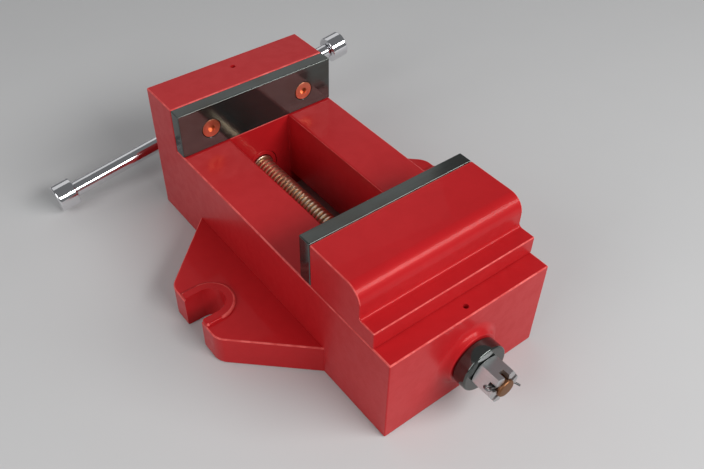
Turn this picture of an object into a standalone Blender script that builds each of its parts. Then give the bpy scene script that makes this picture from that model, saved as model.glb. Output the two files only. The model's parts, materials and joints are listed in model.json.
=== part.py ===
"""Bench vise: bed with a fixed jaw, sliding jaw, lead screw and sliding tommy bar.

Metres, +Z up.  +Y runs from the near end (castle nut) to the far end (handle), and +X is the
right-hand side seen from the near end.  The origin is on the surface that the bed stands on,
midway between the two ends of the lead screw.
"""
import bpy
import bmesh
from math import atan2, cos, pi, radians, sin, sqrt, tan
from mathutils import Matrix, Vector

# ---------------------------------------------------------------- driving dimensions
JAW_WIDTH = 0.100           # across both jaws and the bed
BODY_LENGTH = 0.213         # near face to far face of the casting
RAIL_HEIGHT = 0.055         # underside to the top of the rails
JAW_HEIGHT = 0.0275         # jaws above the rails
NEAR_FACE_TO_ORIGIN = 0.114
NEAR_FACE_TO_SLOTS = 0.1075     # near face to the line of the bolting slots

FIXED_JAW_THICKNESS = 0.027
PLATE_THICKNESS = 0.008
NEAR_WALL = 0.016           # casting around the front bush
FAR_WALL = 0.0345           # casting around the rear bush
SLOT_WIDTH = 0.0405         # between the rails
RECESS_WIDTH = 0.068        # under the rails
RECESS_HEIGHT = 0.012
EDGE_ROUND = 0.001          # cast edges
PLATE_EDGE_ROUND = 0.0006

LUG_REACH = 0.0895          # centre plane to the outer edge of a lug
LUG_HEIGHT = 0.019
LUG_ROOT_LENGTH = 0.1195
LUG_TIP_LENGTH = 0.0445
LUG_CORNER_RADIUS = 0.010
LUG_OVERLAP = 0.006         # how far a lug runs into the bed
BOLT_SLOT_WIDTH = 0.0175
BOLT_SLOT_CENTRE = 0.080    # centre plane to the centre of the slot's round end
RIM_WIDTH = 0.005
RIM_HEIGHT = 0.0018

AXIS_HEIGHT = 0.026         # lead screw above the underside
BOSS_RADIUS = 0.015
BOSS_HEIGHT = 0.004
BOSS_FLARE = 0.0045         # concave radius where the boss meets the near face
OIL_HOLE_DIAMETER = 0.003
NEAR_OIL_HOLE = 0.0055      # from the near face
FAR_OIL_HOLE = 0.0095       # from the far face

THREAD_DIAMETER = 0.012
THREAD_DEPTH = 0.0016
THREAD_PITCH = 0.003
THREAD_SIDES = 10           # flats around one turn
THREAD_FORM = ((0.0, 0.0), (0.34, 0.0), (0.48, 1.0), (0.86, 1.0))   # shares of the pitch and of the depth
NEAR_JOURNAL_DIAMETER = 0.0099
FAR_JOURNAL_DIAMETER = 0.014
BUSH_WALL = 0.0027
SHOULDER_DIAMETER = 0.024
SHOULDER_LENGTH = 0.004
NECK_DIAMETER = 0.016
NECK_LENGTH = 0.0094
HEAD_DIAMETER = 0.022
HEAD_LENGTH = 0.0246
WASHER_THICKNESS = 0.003
COLLAR_DIAMETER = 0.027
COLLAR_LENGTH = 0.008
NUT_ACROSS_FLATS = 0.0165
NUT_LENGTH = 0.0125
NUT_SLOT_DEPTH = 0.004
NUT_SLOT_WIDTH = 0.003
SCREW_END_PROJECTION = 0.0015   # beyond the castle nut
PIN_WIRE = 0.0011
PIN_HOLE_DIAMETER = 0.003
PIN_LEG_GAP = 0.00016       # between the two legs
PIN_OPENING = radians(60)   # of the tips

HANDLE_LENGTH = 0.218
HANDLE_DIAMETER = 0.0096
HANDLE_TILT = radians(8.5)
KNOB_DIAMETER = 0.017
KNOB_LENGTH = 0.012
SPIGOT_DIAMETER = 0.0064
SPIGOT_LENGTH = 0.0085

MOVING_JAW_SETBACK = 0.0115     # near face to the moving jaw, jaws open
MOVING_JAW_DEPTH = 0.0467
STEP_DEPTH = 0.0102
STEP_HEIGHT = 0.0105
STEP_FILLET = 0.002
NOSE_RADIUS = 0.009
GUIDE_LENGTH = 0.0395
LEAD_NUT_LENGTH = 0.032
LEAD_NUT_WIDTH = 0.038
LEAD_NUT_WALL = 0.006           # above the thread
KEEP_PLATE_THICKNESS = 0.006
KEEP_PLATE_LENGTH = 0.036
KEEP_PLATE_WIDTH = 0.064
KEEP_BOLT_DIAMETER = 0.005
KEEP_BOLT_HEAD_DIAMETER = 0.0085
KEEP_BOLT_HEAD_HEIGHT = 0.005
KEEP_BOLT_SPACING_X = 0.027
KEEP_BOLT_SPACING_Y = 0.020
KEEP_BOLT_GRIP = 0.011          # length in the guide block
KEEP_BOLT_CHAMFER = 0.0005

PLATE_SCREW_SPACING = 0.062
PLATE_SCREW_HEIGHT = 0.0125     # above the rails
PLATE_SCREW_DIAMETER = 0.006
PLATE_SCREW_HEAD_DIAMETER = 0.011
PLATE_SCREW_LIP = 0.0006
PLATE_SCREW_LENGTH = 0.018
PLATE_SCREW_TIP = 0.0008        # chamfer
SOCKET_ACROSS_FLATS = 0.004
SOCKET_DEPTH = 0.002

GAP = 0.0003                # between faces that touch
OVERCUT = 0.002             # how far a cutter runs past the face it opens

LARGE_ROUND = 36            # sides of a turned piece, by its size
MEDIUM_ROUND = 32
SMALL_ROUND = 24
TINY_ROUND = 16

# ---------------------------------------------------------------- places that follow
HALF_WIDTH = JAW_WIDTH / 2
NEAR_FACE = -NEAR_FACE_TO_ORIGIN
SLOT_LINE = NEAR_FACE + NEAR_FACE_TO_SLOTS
FAR_FACE = NEAR_FACE + BODY_LENGTH
JAW_TOP = RAIL_HEIGHT + JAW_HEIGHT
FIXED_JAW_FACE = FAR_FACE - FIXED_JAW_THICKNESS
FIXED_PLATE_FACE = FIXED_JAW_FACE - GAP - PLATE_THICKNESS
SLOT_START = NEAR_FACE + NEAR_WALL
SLOT_END = FAR_FACE - FAR_WALL
BOSS_FACE = NEAR_FACE - BOSS_HEIGHT
COLLAR_NEAR = BOSS_FACE - GAP - COLLAR_LENGTH
NUT_FAR = COLLAR_NEAR - GAP
NUT_NEAR = NUT_FAR - NUT_LENGTH
SCREW_END = NUT_NEAR - SCREW_END_PROJECTION
SHOULDER_START = FAR_FACE + GAP + WASHER_THICKNESS + GAP
HEAD_START = SHOULDER_START + SHOULDER_LENGTH + NECK_LENGTH
HANDLE_PLANE = HEAD_START + HEAD_LENGTH / 2
MOVING_JAW_NEAR = NEAR_FACE + MOVING_JAW_SETBACK
MOVING_JAW_FACE = MOVING_JAW_NEAR + MOVING_JAW_DEPTH
MOVING_PLATE_FACE = MOVING_JAW_FACE + GAP + PLATE_THICKNESS
GUIDE_CENTRE = MOVING_JAW_FACE - EDGE_ROUND - GUIDE_LENGTH / 2
GUIDE_UNDERSIDE = AXIS_HEIGHT + THREAD_DIAMETER / 2 + GAP + LEAD_NUT_WALL + GAP
PLATE_SCREW_Z = RAIL_HEIGHT + PLATE_SCREW_HEIGHT
AXIS = Vector((0.0, 0.0, AXIS_HEIGHT))


# ---------------------------------------------------------------- materials
def make_material(name, colour, roughness, metallic):
    material = bpy.data.materials.new(name)
    material.use_nodes = True
    shader = material.node_tree.nodes["Principled BSDF"]
    shader.inputs["Base Color"].default_value = (*colour, 1.0)
    shader.inputs["Roughness"].default_value = roughness
    shader.inputs["Metallic"].default_value = metallic
    material.diffuse_color = (*colour, 1.0)
    return material


# ---------------------------------------------------------------- mesh helpers
def finish_mesh(bm, name, material=None, sharp_angle=35.0):
    """Turn a bmesh into an object, smooth except at its sharp edges."""
    bmesh.ops.recalc_face_normals(bm, faces=bm.faces)
    mesh = bpy.data.meshes.new(name)
    bm.to_mesh(mesh)
    bm.free()
    mesh.shade_smooth()
    mesh.set_sharp_from_angle(angle=radians(sharp_angle))
    obj = bpy.data.objects.new(name, mesh)
    bpy.context.scene.collection.objects.link(obj)
    if material:
        mesh.materials.append(material)
    return obj


def extrude_outline(points, direction):
    """A closed prism: an outline of 3-D points, drawn out along a vector."""
    bm = bmesh.new()
    face = bm.faces.new([bm.verts.new(point) for point in points])
    drawn = bmesh.ops.extrude_face_region(bm, geom=[face])
    moved = [item for item in drawn["geom"] if isinstance(item, bmesh.types.BMVert)]
    bmesh.ops.translate(bm, verts=moved, vec=direction)
    return bm


def box_between(low, high):
    bm = bmesh.new()
    size = [high[i] - low[i] for i in range(3)]
    centre = [(high[i] + low[i]) / 2 for i in range(3)]
    bmesh.ops.create_cube(bm, size=1.0, matrix=Matrix.Translation(centre) @ Matrix.Diagonal((*size, 1.0)))
    return bm


def turned(profile, segments):
    """A solid of revolution about Y; profile is (y, radius) from the near end to the far end."""
    bm = bmesh.new()
    rings = []
    for y, radius in profile:
        angles = [2 * pi * k / segments for k in range(segments)]
        rings.append([bm.verts.new((radius * cos(a), y, radius * sin(a))) for a in angles])
    for near, far in zip(rings, rings[1:]):
        for k in range(segments):
            following = (k + 1) % segments
            bm.faces.new((near[k], near[following], far[following], far[k]))
    bm.faces.new(rings[0])
    bm.faces.new(rings[-1])
    return bm


def turned_ring(profile, segments):
    """A ring turned about Y from a closed (y, radius) outline."""
    bm = bmesh.new()
    rings = []
    for k in range(segments):
        a = 2 * pi * k / segments
        rings.append([bm.verts.new((r * cos(a), y, r * sin(a))) for y, r in profile])
    for here, there in zip(rings, rings[1:] + rings[:1]):
        for i in range(len(profile)):
            j = (i + 1) % len(profile)
            bm.faces.new((here[i], here[j], there[j], there[i]))
    return bm


def tube_outline(near, far, inner, outer, chamfer):
    return [
        (near, inner), (near, outer - chamfer), (near + chamfer, outer),
        (far - chamfer, outer), (far, outer - chamfer), (far, inner),
    ]


def arc(centre, radius, start, end, steps):
    """Points (u, v) on an arc, angles in degrees."""
    angles = [radians(start + (end - start) * i / steps) for i in range(steps + 1)]
    return [(centre[0] + radius * cos(a), centre[1] + radius * sin(a)) for a in angles]


def rounded_corner(before, corner, after, radius, steps):
    """Points of the arc that rounds one corner of an outline in the plane."""
    corner = Vector(corner)
    to_before = (Vector(before) - corner).normalized()
    to_after = (Vector(after) - corner).normalized()
    half = to_before.angle(to_after) / 2
    centre = corner + (to_before + to_after).normalized() * (radius / sin(half))
    first = corner + to_before * (radius / tan(half)) - centre
    turn = pi - 2 * half
    side = 1.0 if first.x * to_after.y - first.y * to_after.x > 0 else -1.0
    start = atan2(first.y, first.x)
    return [
        (centre.x + radius * cos(start + side * turn * i / steps),
         centre.y + radius * sin(start + side * turn * i / steps))
        for i in range(steps + 1)
    ]


def regular_prism(across_flats, near, far, sides=6, turn=0.0):
    """A prism along Y with the given distance across its flats."""
    radius = across_flats / 2 / cos(pi / sides)
    angles = [2 * pi * k / sides + turn for k in range(sides)]
    points = [(radius * cos(a), near, radius * sin(a)) for a in angles]
    return extrude_outline(points, (0.0, far - near, 0.0))


# ---------------------------------------------------------------- modifiers
def add_boolean(obj, operation, other):
    modifier = obj.modifiers.new(f"{operation.title()} {other.name}", "BOOLEAN")
    modifier.operation = operation
    modifier.solver = "EXACT"
    modifier.object = other
    other.hide_render = True
    other.display_type = "WIRE"
    return modifier


def cut(obj, *cutters):
    for cutter in cutters:
        add_boolean(obj, "DIFFERENCE", cutter)


def join(obj, *additions):
    for addition in additions:
        add_boolean(obj, "UNION", addition)


def add_bevel(obj, width, segments=2, angle=50.0):
    modifier = obj.modifiers.new("Round edges", "BEVEL")
    modifier.width = width
    modifier.segments = segments
    modifier.limit_method = "ANGLE"
    modifier.angle_limit = radians(angle)
    return modifier


def add_cast_bevel(obj, keep_sharp):
    """Round every edge of a casting but those that keep_sharp picks out."""
    edges = obj.data.edges
    vertices = obj.data.vertices
    weights = obj.data.attributes.new("bevel_weight_edge", "FLOAT", "EDGE")
    for edge in edges:
        sharp = keep_sharp(*(vertices[i].co for i in edge.vertices))
        weights.data[edge.index].value = 0.0 if sharp else 1.0
    modifier = add_bevel(obj, EDGE_ROUND)
    modifier.limit_method = "WEIGHT"


def on_underside(a, b):
    return max(a.z, b.z) < EDGE_ROUND


def make_cylinder(name, radius, start, end, segments):
    """A cylinder between two points, mostly used as a cutter."""
    start = Vector(start)
    end = Vector(end)
    length = (end - start).length
    obj = finish_mesh(turned([(0.0, radius), (length, radius)], segments), name)
    obj.location = start
    obj.rotation_euler = Vector((0.0, 1.0, 0.0)).rotation_difference(end - start).to_euler()
    return obj


def on_axis(obj):
    """Put a piece that was turned about Y on the lead screw's axis."""
    obj.location = AXIS
    return obj


# ---------------------------------------------------------------- bed
def lug_outline(side, reach, root, tip):
    """A lug seen from above, corners rounded; it starts inside the bed."""
    inner = HALF_WIDTH - LUG_OVERLAP
    slope = (root - tip) / 2 / (reach - HALF_WIDTH)
    inner_half = root / 2 + slope * (HALF_WIDTH - inner)
    lower = rounded_corner((inner, -inner_half), (reach, -tip / 2), (reach, 0.0), LUG_CORNER_RADIUS, 4)
    upper = [(x, -y) for x, y in reversed(lower)]
    outline = [(inner, -inner_half)] + lower + upper + [(inner, inner_half)]
    return [(side * x, y) for x, y in outline]


def slot_outline(side, half_width, outer):
    """A U open to the outside, around a bolting slot."""
    end = arc((BOLT_SLOT_CENTRE, 0.0), half_width, 90, 270, 12)
    outline = [(outer, half_width)] + end + [(outer, -half_width)]
    return [(side * x, y) for x, y in outline]


def lug_prism(name, outline, low, high):
    """An upright prism; its outline is drawn about the line of the bolting slots."""
    bm = extrude_outline([(x, SLOT_LINE + y, low) for x, y in outline], (0.0, 0.0, high - low))
    return finish_mesh(bm, name)


def make_lug(side, label):
    """The rounding runs round the top; the corners of the outline are arcs already."""
    lug = lug_prism(
        f"lug_{label}", lug_outline(side, LUG_REACH, LUG_ROOT_LENGTH, LUG_TIP_LENGTH), 0.0, LUG_HEIGHT)
    add_cast_bevel(lug, lambda a, b: min(a.z, b.z) < EDGE_ROUND)
    return lug


def make_rim(side, label):
    half_width = BOLT_SLOT_WIDTH / 2 + RIM_WIDTH
    outline = slot_outline(side, half_width, LUG_REACH - EDGE_ROUND)
    return lug_prism(f"rim_{label}", outline, LUG_HEIGHT / 2, LUG_HEIGHT + RIM_HEIGHT)


def make_bolt_slot(side, label):
    outline = slot_outline(side, BOLT_SLOT_WIDTH / 2, LUG_REACH + OVERCUT)
    return lug_prism(f"bolt_slot_{label}", outline, -OVERCUT, LUG_HEIGHT + RIM_HEIGHT + OVERCUT)


def make_boss():
    """Bearing boss with the concave flare that runs it into the near face."""
    flare = arc((NEAR_FACE - BOSS_FLARE, BOSS_RADIUS + BOSS_FLARE), BOSS_FLARE, 270, 360, 6)
    flare = [(y, r) for y, r in flare if y > BOSS_FACE + EDGE_ROUND]
    profile = [(BOSS_FACE, BOSS_RADIUS - EDGE_ROUND / 2), (BOSS_FACE + EDGE_ROUND / 2, BOSS_RADIUS)]
    foot = [(NEAR_FACE + OVERCUT, BOSS_RADIUS + BOSS_FLARE)]
    return on_axis(finish_mesh(turned(profile + flare + foot, LARGE_ROUND), "boss"))


def plate_screw_places():
    return [(-PLATE_SCREW_SPACING / 2, "left"), (PLATE_SCREW_SPACING / 2, "right")]


def screw_hole(name, x, mouth, direction):
    """Countersunk clearance hole for a plate screw; direction is +1 or -1 along Y."""
    radius = PLATE_SCREW_DIAMETER / 2 + GAP
    head_radius = PLATE_SCREW_HEAD_DIAMETER / 2 + GAP
    cone = head_radius - radius
    depth = PLATE_SCREW_LENGTH + OVERCUT
    profile = [(-OVERCUT, head_radius), (PLATE_SCREW_LIP + GAP, head_radius),
               (PLATE_SCREW_LIP + GAP + cone, radius), (depth, radius)]
    cutter = finish_mesh(turned(profile, SMALL_ROUND), name)
    cutter.location = (x, mouth, PLATE_SCREW_Z)
    if direction < 0:
        cutter.rotation_euler = (0.0, 0.0, pi)
    return cutter


def make_base_casting(enamel, oil_holes, bush_seats, fixed_screw_holes):
    side_view = [
        (NEAR_FACE, 0.0), (FAR_FACE, 0.0), (FAR_FACE, JAW_TOP), (FIXED_JAW_FACE, JAW_TOP),
        (FIXED_JAW_FACE, RAIL_HEIGHT), (NEAR_FACE, RAIL_HEIGHT),
    ]
    bm = extrude_outline([(-HALF_WIDTH, y, z) for y, z in side_view], (JAW_WIDTH, 0.0, 0.0))
    casting = finish_mesh(bm, "base_casting", enamel)

    def in_jaw_corner(a, b):
        return all(abs(p.y - FIXED_JAW_FACE) + abs(p.z - RAIL_HEIGHT) < EDGE_ROUND for p in (a, b))

    add_cast_bevel(casting, lambda a, b: on_underside(a, b) or in_jaw_corner(a, b))

    for side, label in ((-1, "left"), (1, "right")):
        join(casting, make_lug(side, label), make_rim(side, label))
        cut(casting, make_bolt_slot(side, label))
    join(casting, make_boss())

    slot_top = RAIL_HEIGHT + OVERCUT
    slot = finish_mesh(box_between(
        (-SLOT_WIDTH / 2, SLOT_START, -OVERCUT), (SLOT_WIDTH / 2, SLOT_END, slot_top)), "rail_slot")
    recess = finish_mesh(box_between(
        (-RECESS_WIDTH / 2, SLOT_START, -OVERCUT), (RECESS_WIDTH / 2, SLOT_END, RECESS_HEIGHT)), "recess")
    cut(casting, slot, recess, *bush_seats, *oil_holes, *fixed_screw_holes)
    return casting


# ---------------------------------------------------------------- bearings
NEAR_BUSH_BORE = NEAR_JOURNAL_DIAMETER / 2 + GAP
NEAR_BUSH_OUTER = NEAR_BUSH_BORE + BUSH_WALL
FAR_BUSH_BORE = FAR_JOURNAL_DIAMETER / 2 + GAP
FAR_BUSH_OUTER = FAR_BUSH_BORE + BUSH_WALL


def make_bush_seats():
    near = make_cylinder(
        "near_bush_seat", NEAR_BUSH_OUTER + GAP,
        (0, BOSS_FACE - OVERCUT, AXIS_HEIGHT), (0, SLOT_START + OVERCUT, AXIS_HEIGHT), MEDIUM_ROUND)
    far = make_cylinder(
        "far_bush_seat", FAR_BUSH_OUTER + GAP,
        (0, SLOT_END - OVERCUT, AXIS_HEIGHT), (0, FAR_FACE + OVERCUT, AXIS_HEIGHT), MEDIUM_ROUND)
    return [near, far]


def make_oil_holes():
    radius = OIL_HOLE_DIAMETER / 2
    near_y = NEAR_FACE + NEAR_OIL_HOLE
    far_y = FAR_FACE - FAR_OIL_HOLE
    near = make_cylinder(
        "near_oil_hole", radius, (0, near_y, AXIS_HEIGHT), (0, near_y, RAIL_HEIGHT + OVERCUT), TINY_ROUND)
    far = make_cylinder(
        "far_oil_hole", radius, (0, far_y, AXIS_HEIGHT), (0, far_y, JAW_TOP + OVERCUT), TINY_ROUND)
    return [near, far]


def make_bush(name, bronze, near, far, bore, outer, oil_hole):
    outline = tube_outline(near, far, bore, outer, PLATE_EDGE_ROUND)
    bush = on_axis(finish_mesh(turned_ring(outline, MEDIUM_ROUND), name, bronze))
    cut(bush, oil_hole)
    return bush


# ---------------------------------------------------------------- jaw plates and their screws
def make_jaw_plate(name, material, near, screw_holes):
    bm = box_between((-HALF_WIDTH, near, RAIL_HEIGHT + GAP), (HALF_WIDTH, near + PLATE_THICKNESS, JAW_TOP))
    plate = finish_mesh(bm, name, material)
    add_bevel(plate, PLATE_EDGE_ROUND, 1)
    cut(plate, *screw_holes)
    return plate


def make_plate_screw(name, material, x, face, direction):
    """Countersunk screw, its head flush with the plate's clamping face."""
    radius = PLATE_SCREW_DIAMETER / 2
    head_radius = PLATE_SCREW_HEAD_DIAMETER / 2
    cone = head_radius - radius
    profile = [
        (0.0, head_radius), (PLATE_SCREW_LIP, head_radius), (PLATE_SCREW_LIP + cone, radius),
        (PLATE_SCREW_LENGTH - PLATE_SCREW_TIP, radius), (PLATE_SCREW_LENGTH, radius - PLATE_SCREW_TIP),
    ]
    screw = finish_mesh(turned(profile, SMALL_ROUND), name, material)
    socket = finish_mesh(regular_prism(SOCKET_ACROSS_FLATS, -OVERCUT, SOCKET_DEPTH), f"{name}_socket")
    for obj in (screw, socket):
        obj.location = (x, face, PLATE_SCREW_Z)
        if direction < 0:
            obj.rotation_euler = (0.0, 0.0, pi)
    cut(screw, socket)
    return screw


# ---------------------------------------------------------------- moving jaw
def keep_bolt_places():
    for along, end in ((-1, "near"), (1, "far")):
        for across, side in ((-1, "left"), (1, "right")):
            x = across * KEEP_BOLT_SPACING_X / 2
            y = GUIDE_CENTRE + along * KEEP_BOLT_SPACING_Y / 2
            yield x, y, f"{end}_{side}"


def make_bolt_hole(x, y, label):
    radius = KEEP_BOLT_DIAMETER / 2 + GAP
    top = KEEP_BOLT_TIP + GAP
    return make_cylinder(f"keep_bolt_hole_{label}", radius, (x, y, -OVERCUT), (x, y, top), TINY_ROUND)


def moving_jaw_side_view():
    """Outline in Y and Z: low step, small hollow, upright, round nose, flat top."""
    underside = RAIL_HEIGHT + GAP
    step_top = RAIL_HEIGHT + STEP_HEIGHT
    upright = MOVING_JAW_NEAR + STEP_DEPTH
    hollow = arc((upright - STEP_FILLET, step_top + STEP_FILLET), STEP_FILLET, 270, 360, 4)
    nose = arc((upright + NOSE_RADIUS, JAW_TOP - NOSE_RADIUS), NOSE_RADIUS, 180, 90, 8)
    return (
        [(MOVING_JAW_FACE, underside), (MOVING_JAW_NEAR, underside),
         (MOVING_JAW_NEAR, step_top - EDGE_ROUND), (MOVING_JAW_NEAR + EDGE_ROUND, step_top)]
        + hollow + nose
        + [(MOVING_JAW_FACE - EDGE_ROUND, JAW_TOP), (MOVING_JAW_FACE, JAW_TOP - EDGE_ROUND)]
    )


def make_moving_jaw(enamel, screw_holes, bolt_holes):
    outline = [(-HALF_WIDTH, y, z) for y, z in moving_jaw_side_view()]
    bm = extrude_outline(outline, (JAW_WIDTH, 0.0, 0.0))
    jaw = finish_mesh(bm, "moving_jaw", enamel)
    add_bevel(jaw, EDGE_ROUND, 1, 80.0)
    half_x = SLOT_WIDTH / 2 - GAP
    half_y = GUIDE_LENGTH / 2
    guide = finish_mesh(box_between(
        (-half_x, GUIDE_CENTRE - half_y, GUIDE_UNDERSIDE),
        (half_x, GUIDE_CENTRE + half_y, RAIL_HEIGHT + STEP_HEIGHT / 2)), "guide_block")
    join(jaw, guide)
    cut(jaw, *screw_holes, *bolt_holes)
    return jaw


def make_lead_nut(bronze, bolt_holes):
    half_x = LEAD_NUT_WIDTH / 2
    half_y = LEAD_NUT_LENGTH / 2
    nut = finish_mesh(box_between(
        (-half_x, GUIDE_CENTRE - half_y, RECESS_HEIGHT),
        (half_x, GUIDE_CENTRE + half_y, GUIDE_UNDERSIDE - GAP)), "lead_nut", bronze)
    add_bevel(nut, EDGE_ROUND, 1)
    reach = half_y + OVERCUT
    bore = make_cylinder(
        "lead_nut_bore", THREAD_DIAMETER / 2 + GAP,
        (0, GUIDE_CENTRE - reach, AXIS_HEIGHT), (0, GUIDE_CENTRE + reach, AXIS_HEIGHT), MEDIUM_ROUND)
    cut(nut, bore, *bolt_holes)
    return nut


KEEP_PLATE_TOP = RECESS_HEIGHT - GAP
KEEP_PLATE_UNDERSIDE = KEEP_PLATE_TOP - KEEP_PLATE_THICKNESS
KEEP_BOLT_TIP = GUIDE_UNDERSIDE + KEEP_BOLT_GRIP


def make_keep_plate(steel, bolt_holes):
    half_x = KEEP_PLATE_WIDTH / 2
    half_y = KEEP_PLATE_LENGTH / 2
    plate = finish_mesh(box_between(
        (-half_x, GUIDE_CENTRE - half_y, KEEP_PLATE_UNDERSIDE),
        (half_x, GUIDE_CENTRE + half_y, KEEP_PLATE_TOP)), "keep_plate", steel)
    add_bevel(plate, PLATE_EDGE_ROUND, 1)
    cut(plate, *bolt_holes)
    return plate


def make_keep_bolt(name, steel, x, y):
    """Socket-head bolt from below: shank up through the keep plate and the lead nut."""
    radius = KEEP_BOLT_DIAMETER / 2
    head_radius = KEEP_BOLT_HEAD_DIAMETER / 2
    chamfer = KEEP_BOLT_CHAMFER
    head_top = KEEP_PLATE_UNDERSIDE - GAP
    length = KEEP_BOLT_TIP - head_top
    profile = [
        (-KEEP_BOLT_HEAD_HEIGHT, head_radius - chamfer), (chamfer - KEEP_BOLT_HEAD_HEIGHT, head_radius),
        (0.0, head_radius), (0.0, radius), (length - chamfer, radius), (length, radius - chamfer),
    ]
    bolt = finish_mesh(turned(profile, TINY_ROUND), name, steel)
    socket = finish_mesh(
        regular_prism(SOCKET_ACROSS_FLATS, -KEEP_BOLT_HEAD_HEIGHT - OVERCUT, -KEEP_BOLT_HEAD_HEIGHT / 2),
        f"{name}_socket")
    for obj in (bolt, socket):
        obj.location = (x, y, head_top)
        obj.rotation_euler = (pi / 2, 0.0, 0.0)
    cut(bolt, socket)
    return bolt


# ---------------------------------------------------------------- lead screw
def make_thread(near, far, segments):
    """A single-start right-hand trapezoidal thread about Y, with its core, as one closed mesh.

    Each column of vertices is one direction around the axis, and each row is one corner of the
    thread form; a row climbs one pitch in one turn, and so joins the row of the next turn.
    """
    root = THREAD_DIAMETER / 2 - THREAD_DEPTH
    form = [(share, root + rise * THREAD_DEPTH) for share, rise in THREAD_FORM]
    turns = int((far - near) / THREAD_PITCH) - 2
    first = near + ((far - near) - (turns + 1) * THREAD_PITCH) / 2
    rows = turns * len(form) + 1
    bm = bmesh.new()

    def corner(row, column):
        turn, step = divmod(row, len(form))
        share, radius = form[step]
        y = first + (turn + share + column / segments) * THREAD_PITCH
        a = -2 * pi * column / segments
        return bm.verts.new((radius * cos(a), y, radius * sin(a)))

    grid = [[corner(row, column) for column in range(segments)] for row in range(rows + len(form))]

    def at(row, column):
        return grid[row][column] if column < segments else grid[row + len(form)][0]

    for row in range(rows - 1):
        for column in range(segments):
            following = column + 1
            bm.faces.new((at(row, column), at(row, following), at(row + 1, following), at(row + 1, column)))

    def end_ring(y):
        angles = [-2 * pi * k / segments for k in range(segments)]
        return [bm.verts.new((root * cos(a), y, root * sin(a))) for a in angles]

    ring = end_ring(near)
    bm.faces.new(ring)
    for column in range(segments - 1):
        bm.faces.new((ring[column], ring[column + 1], grid[0][column + 1], grid[0][column]))
    bm.faces.new((ring[-1], ring[0], grid[0][0], grid[1][0], grid[4][0], grid[0][-1]))
    bm.faces.new((grid[1][0], grid[2][0], grid[3][0], grid[4][0]))

    last = rows - 1
    ring = end_ring(far)
    bm.faces.new(ring)
    for column in range(1, segments):
        bm.faces.new((ring[column], ring[(column + 1) % segments], at(last, column + 1), grid[last][column]))
    bm.faces.new((ring[0], ring[1], grid[last][1], grid[last][0], grid[last + 1][0], grid[last + 4][0]))
    bm.faces.new((grid[last + 1][0], grid[last + 2][0], grid[last + 3][0], grid[last + 4][0]))
    bmesh.ops.delete(bm, geom=[v for v in bm.verts if not v.link_faces], context="VERTS")
    return bm


def make_lead_screw(steel, handle_hole, pin_hole):
    near_radius = NEAR_JOURNAL_DIAMETER / 2
    far_radius = FAR_JOURNAL_DIAMETER / 2
    core_radius = THREAD_DIAMETER / 2 - THREAD_DEPTH
    relief = EDGE_ROUND
    thread_near = SLOT_START + GAP
    thread_far = SLOT_END - GAP
    near_journal = [
        (SCREW_END, near_radius - relief), (SCREW_END + relief, near_radius),
        (thread_near, near_radius), (thread_near + relief, core_radius - relief),
    ]
    shoulder_far = SHOULDER_START + SHOULDER_LENGTH
    head_end = HEAD_START + HEAD_LENGTH
    far_journal = [
        (thread_far - relief, core_radius - relief), (thread_far, far_radius),
        (SHOULDER_START, far_radius),
        (SHOULDER_START, SHOULDER_DIAMETER / 2), (shoulder_far, SHOULDER_DIAMETER / 2),
        (shoulder_far + relief, NECK_DIAMETER / 2), (HEAD_START - relief, NECK_DIAMETER / 2),
        (HEAD_START, HEAD_DIAMETER / 2), (head_end - 2 * relief, HEAD_DIAMETER / 2),
        (head_end, HEAD_DIAMETER / 2 - 2 * relief),
    ]
    screw = on_axis(finish_mesh(make_thread(thread_near, thread_far, THREAD_SIDES), "lead_screw", steel))
    near_end = on_axis(finish_mesh(turned(near_journal, SMALL_ROUND), "near_journal"))
    far_end = on_axis(finish_mesh(turned(far_journal, MEDIUM_ROUND), "far_journal"))
    join(screw, near_end, far_end)
    cut(screw, handle_hole, pin_hole)
    return screw


def make_washer(name, material, near, far, bore_diameter, outer_diameter, chamfer):
    outline = tube_outline(near, far, bore_diameter / 2 + GAP, outer_diameter / 2, chamfer)
    return on_axis(finish_mesh(turned_ring(outline, LARGE_ROUND), name, material))


def make_castle_nut(steel):
    """Hexagon nut with six slots in its near end; its bore is plain, with a running gap."""
    nut = on_axis(finish_mesh(regular_prism(NUT_ACROSS_FLATS, NUT_NEAR, NUT_FAR), "castle_nut", steel))
    corner_radius = NUT_ACROSS_FLATS / sqrt(3)
    chamfer = corner_radius - NUT_ACROSS_FLATS / 2
    envelope = on_axis(finish_mesh(turned([
        (NUT_NEAR, NUT_ACROSS_FLATS / 2), (NUT_NEAR + chamfer, corner_radius + GAP),
        (NUT_FAR - chamfer, corner_radius + GAP), (NUT_FAR, NUT_ACROSS_FLATS / 2),
    ], LARGE_ROUND), "nut_envelope"))
    add_boolean(nut, "INTERSECT", envelope)
    bore = make_cylinder(
        "castle_nut_bore", NEAR_JOURNAL_DIAMETER / 2 + GAP,
        (0, NUT_NEAR - OVERCUT, AXIS_HEIGHT), (0, NUT_FAR + OVERCUT, AXIS_HEIGHT), SMALL_ROUND)
    cut(nut, bore)
    for k in range(3):
        slot = finish_mesh(box_between(
            (-NUT_ACROSS_FLATS, NUT_NEAR - OVERCUT, -NUT_SLOT_WIDTH / 2),
            (NUT_ACROSS_FLATS, NUT_NEAR + NUT_SLOT_DEPTH, NUT_SLOT_WIDTH / 2)), f"nut_slot_{k}")
        slot.location = AXIS
        slot.rotation_euler = (0.0, pi / 6 + k * pi / 3, 0.0)
        cut(nut, slot)
    return nut


PIN_Y = NUT_NEAR + NUT_SLOT_DEPTH / 2
PIN_TURN = pi / 6


def make_pin_hole():
    reach = Vector((cos(PIN_TURN), 0.0, -sin(PIN_TURN))) * NEAR_JOURNAL_DIAMETER
    centre = Vector((0.0, PIN_Y, AXIS_HEIGHT))
    return make_cylinder("pin_hole", PIN_HOLE_DIAMETER / 2, centre - reach, centre + reach, TINY_ROUND)


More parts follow.
